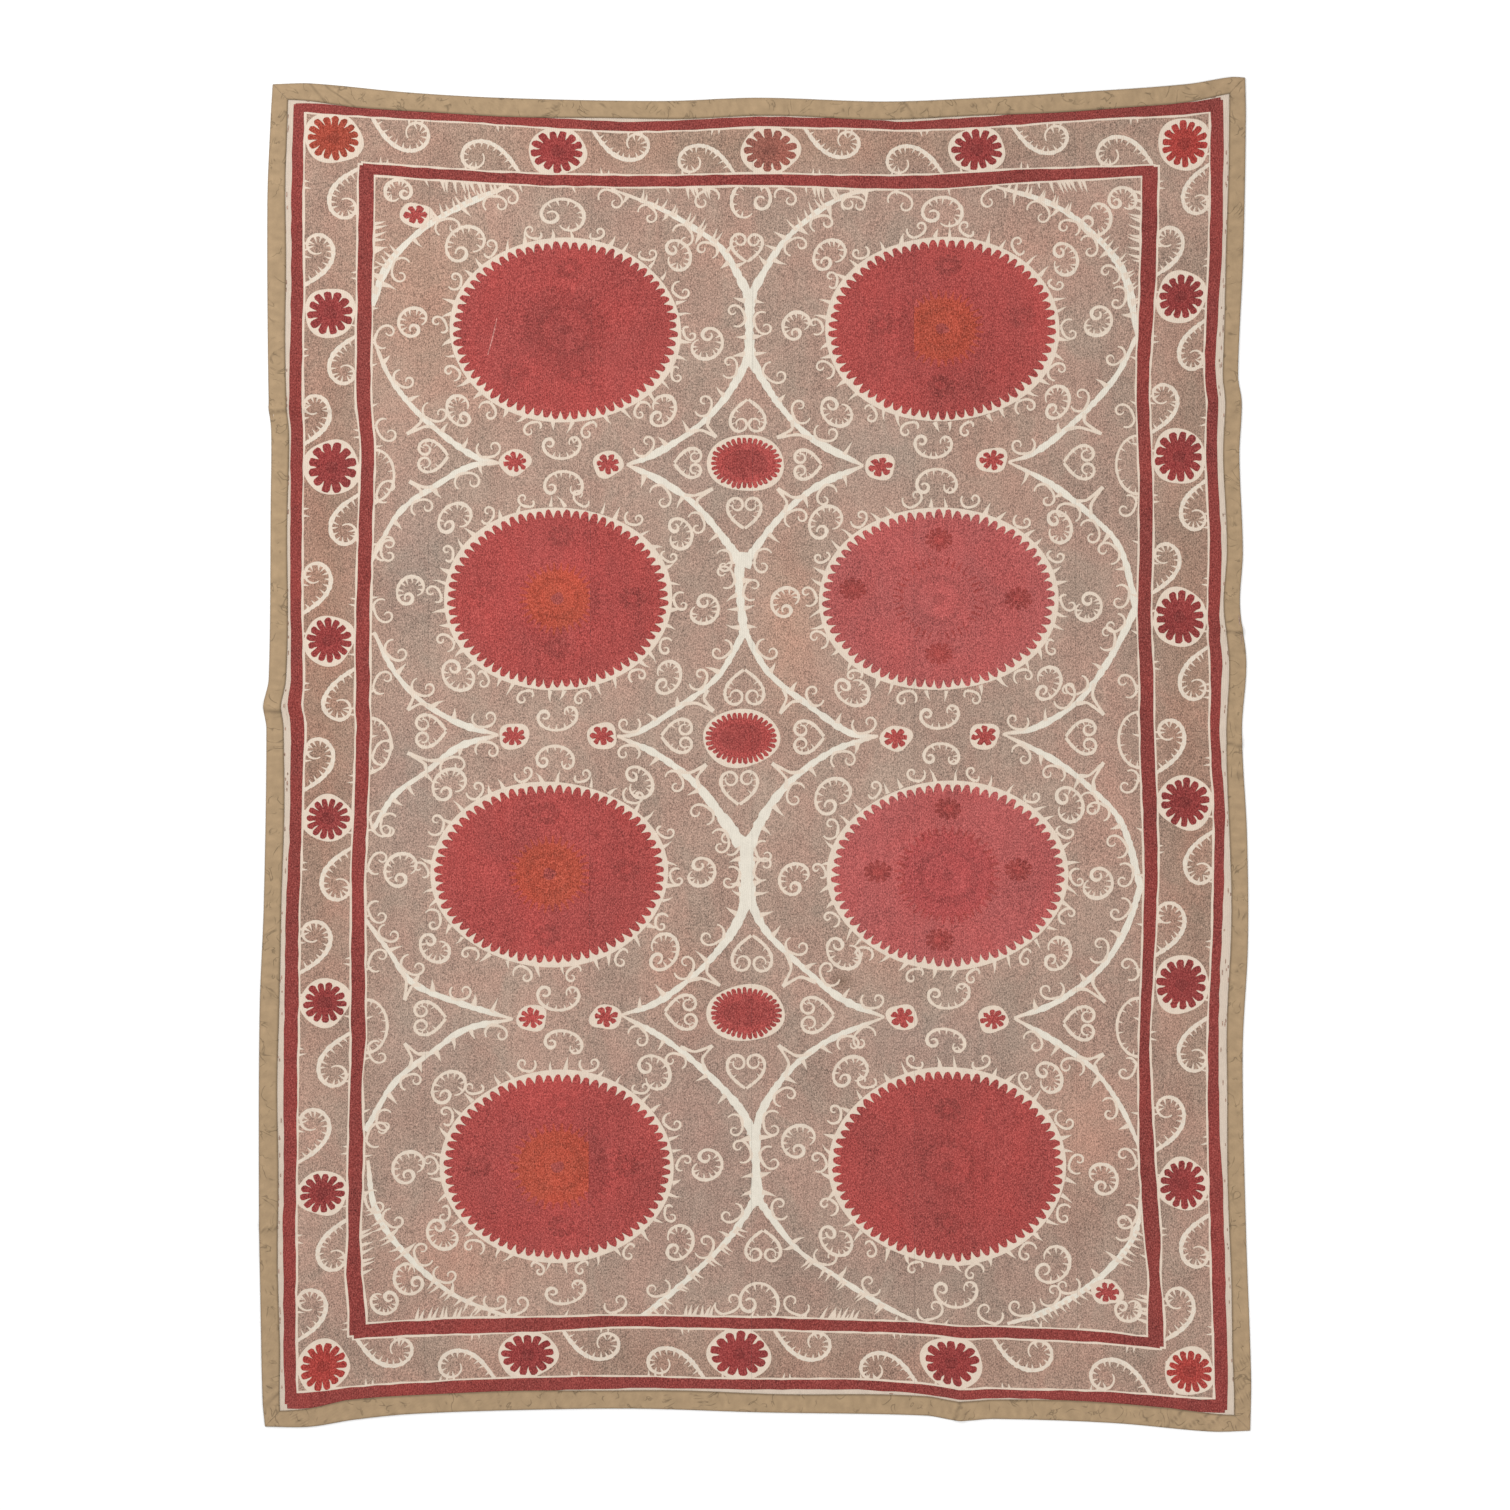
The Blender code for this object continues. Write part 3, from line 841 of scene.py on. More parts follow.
for medallion in MEDALLIONS:
    middle = home(medallion.x, medallion.y)
    ring = (medallion.across, medallion.up)
    disc(middle, ring, LINES, BARE, tremor=1.2, points=120)
    toothed(middle, (ring[0] - 7, ring[1] - 6), 66, 17.5, SAW_TOOTH, FILLS, medallion.body)
    ring_growth(ring_of(middle, ring), 42)
    size = medallion.heart_size
    seam, other_side, beyond = None, None, 1.04
    if medallion.cut:
        seam = (SEAMS[1], -1) if medallion.cut == 1 else (SEAMS[3], 1)
        other_side, beyond = (seam[0], -seam[1]), 1.24
    darker = shade_of(CRIMSON, 0.84 if medallion.cut else 0.92)
    around = (size * beyond, size * beyond * 0.92)
    toothed(middle, around, 40, 17, SPIKE, DETAILS, darker, seam=other_side)
    for k, part in enumerate(HEART_RINGS):
        radii = (size * part.across, size * part.up)
        thread = shade_of(medallion.heart, part.shade)
        toothed(middle, radii, part.teeth, part.depth, SPIKE, HEARTS + k, thread, seam=seam)
    dot = DISC_DOT if seam else shade_of(medallion.heart, 0.85)
    disc(middle, (13, 11), HEARTS + 3, dot, points=20)
    for x, y in medallion.flowers:
        spot = middle + Vector((x, y))
        petals = shade_of(CRIMSON, hand.uniform(0.76, 0.88))
        toothed(spot, (28, 23), 10, 12, PETAL, DETAILS, petals)
        toothed(spot, (11, 9), 6, 4, PETAL, HEARTS, shade_of(CRIMSON, 1.02))
scratch = [home(-521, 779), home(-511, 815), home(-503, 851)]
line(through(scratch), (1.5, 3.0, 1.5), HEARTS + 3, SCRATCHED)
print(len(patches), "patches with the medallions")

# %% [markdown]
# ## The vines
# Vines run round every medallion and meet in points between them, which leaves lozenges between
# the two columns and triangles at the sides. Each row is one vine: the places it runs through,
# its width from start to end, and what grows on its left and on its right, in order along it:
# t is a thorn, c a curl that winds forward, o a curl that winds back, b a barb of a comb, and a
# dot is a gap.
# %% Places of the vines
Vine = namedtuple("Vine", "places widths left right")
VINES = [Vine(*row) for row in (
    # the corners
    (((-480, 1108), (-566, 1072), (-647, 1025), (-714, 956), (-747, 875)),
     (5, 15, 13, 12, 14, 17, 12), "ototct", "bbbbbbb..bbbb"),
    (((466, 1108), (573, 1075), (653, 1021), (720, 935), (745, 816)),
     (5, 12, 12, 13, 17, 18, 9), "bbbbb..bbbbbb.", "tctoctoct"),
    (((-755, -791), (-741, -884), (-692, -962), (-599, -1046), (-510, -1086), (-446, -1104)),
     (7, 15, 13, 13, 10, 9, 7), "..cttocttct", "..bbbb..bbbbb."),
    (((753, -849), (739, -937), (671, -1021), (570, -1084), (492, -1110)),
     (6, 13, 15, 13, 13, 8), "..bbb..bbbbb.", "cottcoc"),
    # the left side
    (((-741, 802), (-710, 732), (-647, 656), (-556, 586), (-498, 568)),
     (6, 10, 12, 12, 12, 15, 5), "tctcttc", ""),
    (((-498, 568), (-552, 563), (-618, 527), (-694, 471), (-749, 375)),
     (5, 15, 13, 12, 12, 10, 8), "tototc", ""),
    (((-743, 239), (-704, 163), (-653, 106), (-577, 61), (-500, 38)),
     (7, 12, 12, 10, 12, 16, 5), "ctcttc", ""),
    (((-500, 38), (-577, 15), (-644, -36), (-704, -81), (-747, -150)),
     (5, 16, 13, 10, 13, 12, 9), "ototttc", ""),
    (((-760, -321), (-714, -383), (-671, -442), (-599, -477), (-472, -516)),
     (9, 10, 12, 14, 12, 14, 5), "ctcttctt", ""),
    (((-472, -516), (-562, -535), (-624, -576), (-702, -639), (-760, -734)),
     (5, 15, 13, 10, 13, 12, 13), "ottttotc", ""),
    # the branches and stems between the columns
    (((-281, 1103), (-189, 1066), (-117, 1025), (-62, 982), (-10, 892)),
     (5, 10, 13, 12, 14, 21), ".bbbbbbtt.", "tctctot."),
    (((259, 1107), (176, 1089), (109, 1048), (47, 988), (-10, 892)),
     (5, 10, 13, 12, 14, 21), "tototot.", ".bbbbbttt."),
    (((-10, 906), (-11, 828), (-10, 761)), (32, 21, 18, 21, 32), "tctt", "tott"),
    (((-27, 395), (-31, 330), (-20, 227)), (28, 21, 17, 17, 26), "ttott", "tottt"),
    (((-16, -160), (-16, -225), (-14, -293)), (36, 33, 30, 33, 36), "ctott", "otctt"),
    (((-2, -721), (2, -800), (4, -880)), (32, 22, 17, 26, 32), "tctt", "tott"),
    (((2, -865), (-49, -941), (-123, -1015), (-200, -1080), (-236, -1104)),
     (18, 14, 12, 13, 14, 8), ".bbbbbbb", "ctotc."),
    (((4, -865), (80, -962), (164, -1021), (250, -1074), (318, -1108)),
     (18, 13, 10, 12, 12, 8), "otcto.", "..tbbbbb."),
    # the first lozenge
    (((-12, 773), (-57, 697), (-117, 635), (-199, 584), (-250, 565)),
     (20, 16, 13, 12, 18, 6), "", "ototto"),
    (((-250, 565), (-183, 533), (-117, 487), (-57, 416), (-23, 364)),
     (6, 18, 14, 14, 17, 20), "", "tctctc"),
    (((-10, 773), (47, 682), (113, 615), (211, 563)), (20, 16, 13, 13, 18, 6), "ctoct", ""),
    (((211, 563), (123, 524), (53, 467), (-4, 395), (-18, 364)), (6, 18, 13, 13, 16, 19), "tctotc", ""),
    # the second lozenge
    (((-21, 239), (-72, 153), (-148, 93), (-230, 42), (-269, 36)), (14, 13, 12, 12, 14, 5), "", "ctottc"),
    (((-269, 36), (-193, 1), (-117, -56), (-57, -132), (-27, -176)),
     (5, 15, 15, 17, 23, 28), "", "otctoc"),
    (((-20, 239), (27, 159), (103, 97), (185, 42), (240, 36)), (13, 13, 12, 13, 15, 6), "cttotc", ""),
    (((240, 36), (160, 11), (88, -36), (31, -97), (-12, -176)), (6, 14, 13, 15, 21, 26), "totctt", ""),
    # the third lozenge
    (((-12, -276), (-45, -346), (-107, -420), (-191, -483), (-261, -508)),
     (28, 22, 14, 12, 17, 5), "", "tctott"),
    (((-261, -508), (-176, -555), (-92, -623), (-29, -691), (-6, -738)),
     (5, 14, 13, 13, 18, 21), "", "ctottc"),
    (((-12, -280), (23, -346), (92, -414), (170, -477), (252, -512)),
     (22, 15, 12, 13, 17, 5), "ttctotc", ""),
    (((252, -512), (148, -555), (76, -607), (23, -676), (-2, -740)),
     (5, 14, 12, 13, 17, 18), "cotttoc", ""),
    # the right side
    (((745, 816), (700, 732), (624, 650), (548, 590), (494, 570)), (10, 13, 13, 12, 15, 5), "", "ctotc"),
    (((494, 570), (577, 527), (653, 467), (712, 401), (745, 278)),
     (5, 15, 13, 12, 14, 16), "", "tctoctotc"),
    (((745, 290), (690, 184), (628, 102), (546, 52), (483, 40)), (17, 14, 14, 12, 15, 5), "", "cotcotc"),
    (((483, 40), (583, -11), (653, -65), (716, -137), (753, -264)),
     (5, 14, 12, 12, 15, 14), "", "ctotcotoc"),
    (((753, -253), (722, -342), (671, -420), (587, -483), (505, -514)),
     (12, 15, 13, 12, 15, 6), "", "ctotct"),
    (((505, -514), (587, -561), (659, -613), (712, -685), (751, -767)),
     (6, 15, 12, 10, 12, 8), "", "ctotct"),
)]
print(len(VINES), "vines")


# %% Grow the vines
def grow(path, widths, side, growth, start=0.05, end=0.95):
    """Lay thorns, curls and barbs along one side of a path, in the order of this word."""
    for k, kind in enumerate(growth):
        share = start + (end - start) * (k + 0.5) / len(growth)
        spot = at_share(path, share)
        outward = heading_at(path, spot) + side * 90
        edge = max(width_at(widths, share) / 2 - 2, 1)
        if kind == "t":
            thorn(path[spot] + towards(outward) * edge, outward, 18, (20, 28), (9, 13))
        elif kind == "b":
            for nearby in (path[at_share(path, share - 0.012)], path[at_share(path, share + 0.012)]):
                barb(nearby, outward + hand.uniform(-14, 14), hand.uniform(22, 30), 8.5, side * 14)
        elif kind in "co":
            curl(path, share, side, hand.uniform(70, 84), kind == "c", edge=edge)


for vine in VINES:
    path = through([home(*place) for place in vine.places])
    line(path, vine.widths)
    grow(path, vine.widths, 1, vine.left)
    grow(path, vine.widths, -1, vine.right)
print(len(patches), "patches with the vines")

# %% [markdown]
# ## Scrolls that float free
# Eight scrolls float round each medallion, their backs turned away from it. The one above and the
# one below, between two rows of medallions, are flatter. Each row says where a scroll floats from
# its medallion's middle, how large it is and which way it winds.
# %% Scrolls round the medallions
# Eight scrolls for each medallion, in the order of MEDALLIONS. Columns: x, y, size, winding.
FLOATING = (
    ((-197, 168, 82, -1), (-5, 224, 86, -1), (219, 146, 64, -1), (277, -27, 64, -1), (-298, 15, 58, -1),
     (-206, -158, 62, -1), (189, -158, 64, 1), (-7, -230, 74, 1)),
    ((-221, 144, 70, -1), (0, 228, 80, -1), (238, 136, 66, -1), (-285, 6, 56, -1), (304, 15, 58, -1),
     (-207, -162, 66, 1), (222, -143, 66, 1), (-18, -230, 74, 1)),
    ((12, 226, 76, -1), (-201, 156, 70, -1), (238, 127, 62, -1), (-287, 16, 56, -1), (287, -21, 58, -1),
     (-195, -150, 68, 1), (214, -154, 66, 1), (0, -234, 78, 1)),
    ((-4, 230, 80, -1), (-222, 150, 72, -1), (234, 141, 64, -1), (-299, -6, 58, -1), (292, -15, 55, -1),
     (-168, -179, 70, 1), (212, -164, 66, 1), (2, -230, 76, 1)),
    ((12, 228, 74, -1), (-197, 175, 70, -1), (174, 179, 66, -1), (-290, 8, 66, -1), (297, 4, 56, -1),
     (-224, -144, 64, 1), (221, -152, 74, 1), (18, -242, 82, 1)),
    ((-13, 236, 70, -1), (-226, 154, 78, -1), (236, 138, 70, -1), (-300, -8, 62, -1), (293, -16, 60, -1),
     (-204, -152, 72, 1), (213, -154, 66, 1), (2, -236, 82, 1)),
    ((12, 244, 74, -1), (-213, 155, 72, -1), (189, 186, 72, -1), (-291, -1, 64, -1), (292, 4, 62, -1),
     (-226, -132, 66, 1), (236, -148, 72, 1), (16, -245, 78, 1)),
    ((-4, 246, 76, -1), (-191, 184, 72, -1), (197, 174, 62, -1), (-292, 49, 66, -1), (303, -25, 60, 1),
     (-218, -144, 70, 1), (205, -193, 78, 1), (16, -251, 84, 1)),
)
for number, (medallion, rows) in enumerate(zip(MEDALLIONS, FLOATING)):
    for x, y, size, winding in rows:
        back = math.degrees(math.atan2(y, x))
        in_passage = abs(x) < 60 and not (y > 0 and number < 2)
        kind = SMILE if in_passage else RING
        flat = 0.60 if kind is SMILE else 0.95 if abs(y) < 60 else 0.78
        free_scroll(kind, home(medallion.x + x, medallion.y + y), size * 0.97, back, winding, flat)
print(len(patches), "patches with the free scrolls")

# %% [markdown]
# ## Inside the lozenges and triangles
# Each lozenge holds a small red oval with four hearts that point away from it, and each triangle
# at the sides holds one heart. Spurs with hollow sides stand on the vines between the hearts.
# %% Places of the ovals, flowers, hearts and spurs
Heart = namedtuple("Heart", "x y size tip")
Spur = namedtuple("Spur", "x y tip_x tip_y last_x last_y")
OVALS = ((-18, 568), (-27, 32), (-18, -504))
SMALL_FLOWERS = (
    (-661, 1052), (-468, 570), (-287, 566), (244, 561), (462, 574), (-470, 36), (-298, 36), (275, 32),
    (447, 36), (-435, -514), (-291, -512), (287, -512), (464, -516), (686, -1048),
)
SMALL_HEARTS = [Heart(*row) for row in (
    (-16, 992, 64, 270), (-14, 656, 72, 90), (-127, 568, 60, 180), (99, 565, 60, 0),
    (-21, 475, 68, 270), (-21, 126, 78, 90), (-148, 36, 68, 180), (101, 34, 66, 0),
    (-31, -60, 74, 270), (-6, -393, 80, 90), (-140, -502, 70, 180), (117, -508, 72, 0),
    (-18, -613, 76, 270), (16, -962, 70, 90), (-632, 582, 66, 0), (-636, 46, 66, 0),
    (-638, -514, 68, 0), (636, 570, 68, 180), (640, 34, 68, 180), (636, -524, 68, 180),
)]
SPURS = [Spur(*row) for row in (
    (-651, 664, -675, 627, -620, 637), (-651, 504, -671, 531, -628, 522),
    (-677, 134, -675, 89, -626, 91), (-640, -32, -673, 1, -612, -11),
    (-690, -420, -682, -475, -651, -449), (-675, -613, -681, -566, -636, -582),
    (-88, 658, -78, 621, -127, 629), (-115, 485, -86, 516, -138, 506), (72, 652, 47, 619, 111, 615),
    (57, 471, 47, 516, 98, 504), (-92, 126, -84, 87, -142, 98), (-107, -65, -98, -22, -152, -32),
    (55, 128, 51, 83, 92, 104), (60, -67, 37, -20, 96, -32), (-92, -405, -72, -448, -131, -442),
    (-96, -617, -86, -570, -146, -570), (60, -385, 57, -449, 119, -444),
    (58, -629, 49, -570, 111, -582), (642, 666, 671, 627, 604, 633), (655, 467, 675, 518, 626, 494),
    (661, 139, 677, 81, 624, 98), (661, -71, 677, -19, 632, -42), (663, -424, 679, -479, 618, -459),
    (667, -621, 677, -586, 628, -588),
)]
print(len(OVALS), "ovals", len(SMALL_FLOWERS), "flowers", len(SMALL_HEARTS), "hearts", len(SPURS), "spurs")


# %% Lay the ovals, flowers, hearts and spurs
def hollow_side(start, end, towards_point, depth=0.42):
    """Three points from start to end on a side that bends towards a point."""
    points = []
    for share in (0.25, 0.5, 0.75):
        straight = start.lerp(end, share)
        points.append(straight.lerp(towards_point, depth * 4 * share * (1 - share)))
    return points


for x, y in OVALS:
    middle = home(x, y)
    disc(middle, (76, 57), LINES, BARE, tremor=1.2)
    toothed(middle, (70, 51), 33, 14, PETAL, FILLS, shade_of(CRIMSON, 1.04))
    disc(middle, (42, 28), DETAILS, shade_of(CRIMSON, 0.86))
for x, y in SMALL_FLOWERS:
    middle = home(x, y)
    disc(middle, (31, 26), LINES, BARE, tremor=1.4, points=30)
    petals = hand.choice((6, 7, 7, 8))
    turned = hand.uniform(0, 1)
    toothed(middle, (24, 20), petals, 13, PETAL, FILLS, CRIMSON, turned, tremor=1.2)
for small in SMALL_HEARTS:
    heart(home(small.x, small.y), small.size * 1.1, small.tip)
for spur in SPURS:
    first, tip = home(spur.x, spur.y), home(spur.tip_x, spur.tip_y)
    last = home(spur.last_x, spur.last_y)
    root = (first + last) / 2
    tip = tip + (tip - root) * 0.10
    line(through([first, *hollow_side(first, tip, root), tip]), (9, 7, 6, 8))
    line(through([tip, *hollow_side(tip, last, root), last]), (8, 6, 7, 9))
print(len(patches), "patches with the hearts and spurs")

# %% [markdown]
# ## Along the lines that hold the field
# The inner bands' cream lines are vines too: curls, thorns and combs of barbs grow from them into
# the field, half a flower stands on each side between two medallions, and closed scrolls fill the
# four corners and the spaces over and under the stems.
# %% Places of the growth on the field's edge
Comb = namedtuple("Comb", "side start end count")
COMBS = [Comb(*row) for row in (
    ("top", 330, 425, 8), ("left", 2300, 2375, 6), ("top", 1530, 1605, 7), ("right", 2285, 2425, 10),
    ("left", 285, 385, 7), ("bottom", 285, 385, 8), ("right", 205, 260, 5), ("bottom", 812, 870, 6),
    ("bottom", 1080, 1150, 7), ("top", 812, 860, 5), ("top", 1060, 1110, 5),
)]
# The run of each curl, and whether it winds onward or back.
FORTH, BACK = True, False
EDGE_CURLS = {
    "left": (
        (2135, FORTH), (1960, BACK), (1830, FORTH), (1718, FORTH), (1612, BACK), (1452, FORTH),
        (1312, FORTH), (1192, BACK), (1094, FORTH), (1016, BACK), (902, FORTH), (740, BACK),
        (560, FORTH), (446, BACK),
    ),
    "right": (
        (1975, FORTH), (1814, BACK), (1440, FORTH), (1270, BACK), (890, FORTH), (710, BACK),
        (520, FORTH),
    ),
    "top": (
        (455, FORTH), (655, FORTH), (868, BACK), (1000, FORTH), (1155, BACK), (1228, FORTH),
        (1425, BACK),
    ),
    "bottom": (
        (890, FORTH), (1042, BACK), (480, FORTH), (671, FORTH), (1280, FORTH), (1420, BACK),
    ),
}
SMALL_THORNS = {"left": 22, "right": 22, "top": 15, "bottom": 15}
HalfFlower = namedtuple("HalfFlower", "side run radius")
HALF_FLOWERS = [HalfFlower(*row) for row in (
    ("left", 1864, 50), ("left", 1335, 52), ("left", 785, 52), ("right", 1880, 57),
    ("right", 1345, 54), ("right", 784, 57),
)]
CornerScroll = namedtuple("CornerScroll", "x y size back winding")
CORNER_SCROLLS = [CornerScroll(*row) for row in (
    (-8, 1083, 76, 90, 1), (8, -1066, 74, 90, -1), (665, 1042, 60, 290, 1), (-675, -1023, 58, 250, -1),
    (-696, 1098, 48, 60, 1), (716, 1082, 50, 120, -1), (-722, -1068, 48, 300, -1),
    (727, -1083, 46, 240, 1),
)]
# The field lies on the right of the left and the top edge's path, and on the left of the others.
FIELD_SIDE = {"left": -1, "top": -1, "right": 1, "bottom": 1}
FIELD_START = 190
print(len(COMBS), "combs", sum(len(curls) for curls in EDGE_CURLS.values()), "curls on the edges")


# %% Growth on the field's edge
def field_edge(side):
    """The path along the cream line at the field's edge, in the order of its runs."""
    path = []
    for run in np.arange(FIELD_START, LONG_SIDE[side] - FIELD_START, 8.0):
        depth, width = band_at(side, "inner", run)
        path.append(side_point(side, float(run), depth + width / 2 + CREAM_LINE - 1))
    return path


def edge_share(side, run):
    """How far along its edge's path this run lies, as a share."""
    low, high = FIELD_START, LONG_SIDE[side] - FIELD_START
    return (run - low) / (high - low)


EDGE_PATHS = {side: field_edge(side) for side in SIDES}
for comb in COMBS:
    path = EDGE_PATHS[comb.side]
    start, end = edge_share(comb.side, comb.start), edge_share(comb.side, comb.end)
    barbs(path, FIELD_SIDE[comb.side], comb.count, 27, 8.5, start, end, lean=10)
for side, curls in EDGE_CURLS.items():
    for run, forward in curls:
        share = edge_share(side, run)
        curl(EDGE_PATHS[side], share, FIELD_SIDE[side], hand.uniform(76, 92), forward, tail=0.35)
for side in SIDES:
    barbs(EDGE_PATHS[side], FIELD_SIDE[side], SMALL_THORNS[side], 15, 6, 0.05, 0.95, lean=12)
for side, run, radius in HALF_FLOWERS:
    path = EDGE_PATHS[side]
    middle = path[at_share(path, edge_share(side, run))]
    inward = TURNED[side] - 90
    arc = []
    for turn in range(-92, 93, 8):
        angle = math.radians(inward + turn)
        rim = middle + Vector((math.cos(angle) * radius, math.sin(angle) * radius))
        reach = rim - middle
        arc.append(middle + reach.project(towards(inward)) * 0.74 + reach.project(towards(inward + 90)))
    line(arc, (7, 6, 7, 6, 7))
    barbs(arc, 1, 8, 14, 5)
for x, y, size, back, winding in CORNER_SCROLLS:
    free_scroll(RING, home(x, y), size, back, winding)
print(len(patches), "patches in all")

# %% [markdown]
# ## From patches to a mesh
# A constrained triangulation joins all the outlines into one sheet of triangles and says which
# patches each triangle lies in, so no boolean cuts are needed. Loose points between the patches
# let the sheet bend over its folds. The seams are lines of it too, so it falls apart into the
# six lengths of cloth. The cut edges have a point every few millimetres, because the flat cloth's
# straight edges become curved ones when it is laid.
# %% Where the points go
FIELD_STEP = 16.0
FOLD_STEP = 5.0
EDGE_STEP = 16.0


def panel_bounds(number):
    """Where a length of cloth starts and ends across the flat cloth, in millimetres."""
    left = CLOTH_EDGE if number == 0 else FIRST_SEAM + (number - 1) * LOOM_WIDTH + GAP / 2
    right = WIDTH - CLOTH_EDGE if number == PANELS - 1 else FIRST_SEAM + number * LOOM_WIDTH - GAP / 2
    return left / MM, right / MM


def edge_points(start, end):
    """Points from start almost to end, close enough for a cut edge to follow its curve."""
    count = math.ceil((end - start).length / EDGE_STEP)
    return [start.lerp(end, k / count) for k in range(count)]


def field_points():
    """Points between the patches: a loose grid, and a closer one over each fold."""
    low, high_a, high_b = CLOTH_EDGE / MM, (WIDTH - CLOTH_EDGE) / MM, (HEIGHT - CLOTH_EDGE) / MM
    across = np.arange(low + FIELD_STEP / 2, high_a, FIELD_STEP)
    up = np.arange(low + FIELD_STEP / 2, high_b, FIELD_STEP)
    spots = [Vector((x + hand.uniform(-3, 3), y + hand.uniform(-3, 3))) for x in across for y in up]
    for crease in CREASES:
        half_long, half_wide = crease.length / 2 / MM, crease.half_width / MM
        for along in np.arange(-half_long, half_long, FOLD_STEP * 1.6):
            for beside in np.arange(-half_wide, half_wide + 0.1, FOLD_STEP * 0.8):
                offset = (along, beside) if crease.along == "a" else (beside, along)
                spot = Vector((crease.a / MM + offset[0], crease.b / MM + offset[1]))
                if low + 2 < spot.x < high_a - 2 and low + 2 < spot.y < high_b - 2:
                    spots.append(spot + tremble(0.3))
    return spots


bounds = [panel_bounds(number) for number in range(PANELS)]
print("lengths of cloth", [round(right - left, 1) for left, right in bounds], "mm wide")


# %% Triangulate the whole cloth
def triangulate():
    """All triangles of the flat cloth, and the patch that shows on each (or none)."""
    order = sorted(range(len(patches)), key=lambda k: patches[k].layer)
    points, faces = [], []
    for k in order:
        faces.append(list(range(len(points), len(points) + len(patches[k].points))))
        points += patches[k].points
    edges = []
    low, high = CLOTH_EDGE / MM, (HEIGHT - CLOTH_EDGE) / MM
    for number in range(PANELS):
        left, right = panel_bounds(number)
        corners = [Vector((left, low)), Vector((right, low)), Vector((right, high)), Vector((left, high))]
        outline = [point for k in range(4) for point in edge_points(corners[k], corners[(k + 1) % 4])]
        first = len(points)
        edges += [(first + k, first + (k + 1) % len(outline)) for k in range(len(outline))]
        points += outline
    points += field_points()
    found = delaunay_2d_cdt(points, edges, faces, 0, 1e-3, True)
    shown = [patches[order[max(inside)]] if inside else None for inside in found[5]]
    return found[0], found[2], shown


flat_points, triangles, shown = triangulate()
print(len(patches), "patches", len(flat_points), "points", len(triangles), "triangles")

# %% [markdown]
# ## The six lengths of cloth
# Each length becomes one closed sheet. It is first one layer of triangles at the underside,
# extruded up by the thickness of the bare cloth, and then its stitched areas are extruded once
# more, so that the embroidery stands on the cloth as it does in the hand. The thread colour goes
# with each face as a colour attribute, and its fourth number says stitched or bare.
# %% Tones of the ground
# How light each length is, and where the ground is lighter, darker or dustier: the place in
# millimetres from the middle of the flat cloth, half the width and height, and the tint.
LENGTH_TONES = (1.01, 1.03, 1.00, 1.00, 0.98, 0.98)
GroundPatch = namedtuple("GroundPatch", "x y half_width half_height red green blue")
GROUND_PATCHES = [GroundPatch(*row) for row in (
    (-600, 850, 160, 190, 1.04, 0.97, 0.92), (560, 1010, 130, 90, 1.10, 0.98, 0.96),
    (460, 610, 90, 130, 1.06, 1.00, 0.98), (60, 250, 60, 170, 1.14, 1.04, 0.98),
    (690, -80, 90, 220, 1.07, 0.99, 0.98), (640, -760, 90, 160, 1.10, 0.98, 0.94),
    (-100, 1000, 170, 70, 1.05, 1.00, 0.98), (-560, -1010, 160, 70, 1.10, 0.96, 0.92),
    (-150, -430, 70, 100, 1.07, 0.98, 0.95), (250, -350, 60, 90, 1.06, 1.00, 0.97),
    (-120, 560, 120, 90, 0.93, 0.98, 1.00), (-660, 380, 90, 130, 0.90, 0.97, 1.00),
    (350, -560, 160, 60, 0.90, 0.95, 0.98), (-690, -70, 80, 130, 0.94, 1.00, 1.03),
    (240, 590, 90, 70, 0.95, 0.99, 1.01), (380, 1150, 300, 40, 0.92, 0.93, 0.95),
    (-640, -580, 80, 90, 0.94, 0.99, 1.01), (250, -1010, 330, 90, 0.90, 0.92, 0.93),
    (-850, 200, 90, 800, 0.87, 0.75, 0.68), (850, 100, 90, 900, 0.88, 0.80, 0.74),
    (0, 1220, 800, 80, 0.94, 0.88, 0.82), (0, -1220, 800, 80, 0.90, 0.84, 0.80),
    (-130, -780, 190, 240, 0.93, 0.92, 0.94), (430, -820, 300, 220, 0.95, 0.93, 0.93),
    (-700, 1000, 110, 120, 1.02, 0.96, 0.93), (-540, 300, 90, 120, 1.03, 1.04, 1.02),
    (163, -444, 18, 16, 0.60, 0.55, 0.50),
)]


def ground_tint(a, b):
    """The tint of the ground at a flat point: dusty pink here, greyer there."""
    x, y = a - ACROSS / 2, b - UP / 2
    tint = [1.0, 1.0, 1.0]
    for spot in GROUND_PATCHES:
        reach = math.exp(-((x - spot.x) / spot.half_width) ** 2 - ((y - spot.y) / spot.half_height) ** 2)
        for k, value in enumerate((spot.red, spot.green, spot.blue)):
            tint[k] *= 1 + (value - 1) * reach
    return tint


print(len(GROUND_PATCHES), "places where the ground's colour changes")

# %% Heights, and places on the bake map
BARE_THICK = 1.05 * MM
STITCH_RISE = 0.45 * MM
PUCKER = 0.35 * MM
STRIPS = 3
FRONT_SHARE = 0.80


def heights(a, b):
    """Underside height at points given in millimetres on the flat cloth."""
    a, b = a * MM, b * MM
    slack = np.sin(a * 37 + np.sin(b * 23) * 1.7) * np.sin(b * 41 + np.sin(a * 19) * 2.1)
    inward = np.minimum(np.minimum(a, WIDTH - a), np.minimum(b, HEIGHT - b))
    free = np.clip((inward - BINDING_WIDTH - SETTLE) / 0.03, 0, 1)
    return lift(a, b) + stands_on_binding(a, b) + PUCKER * free * (slack + 1)


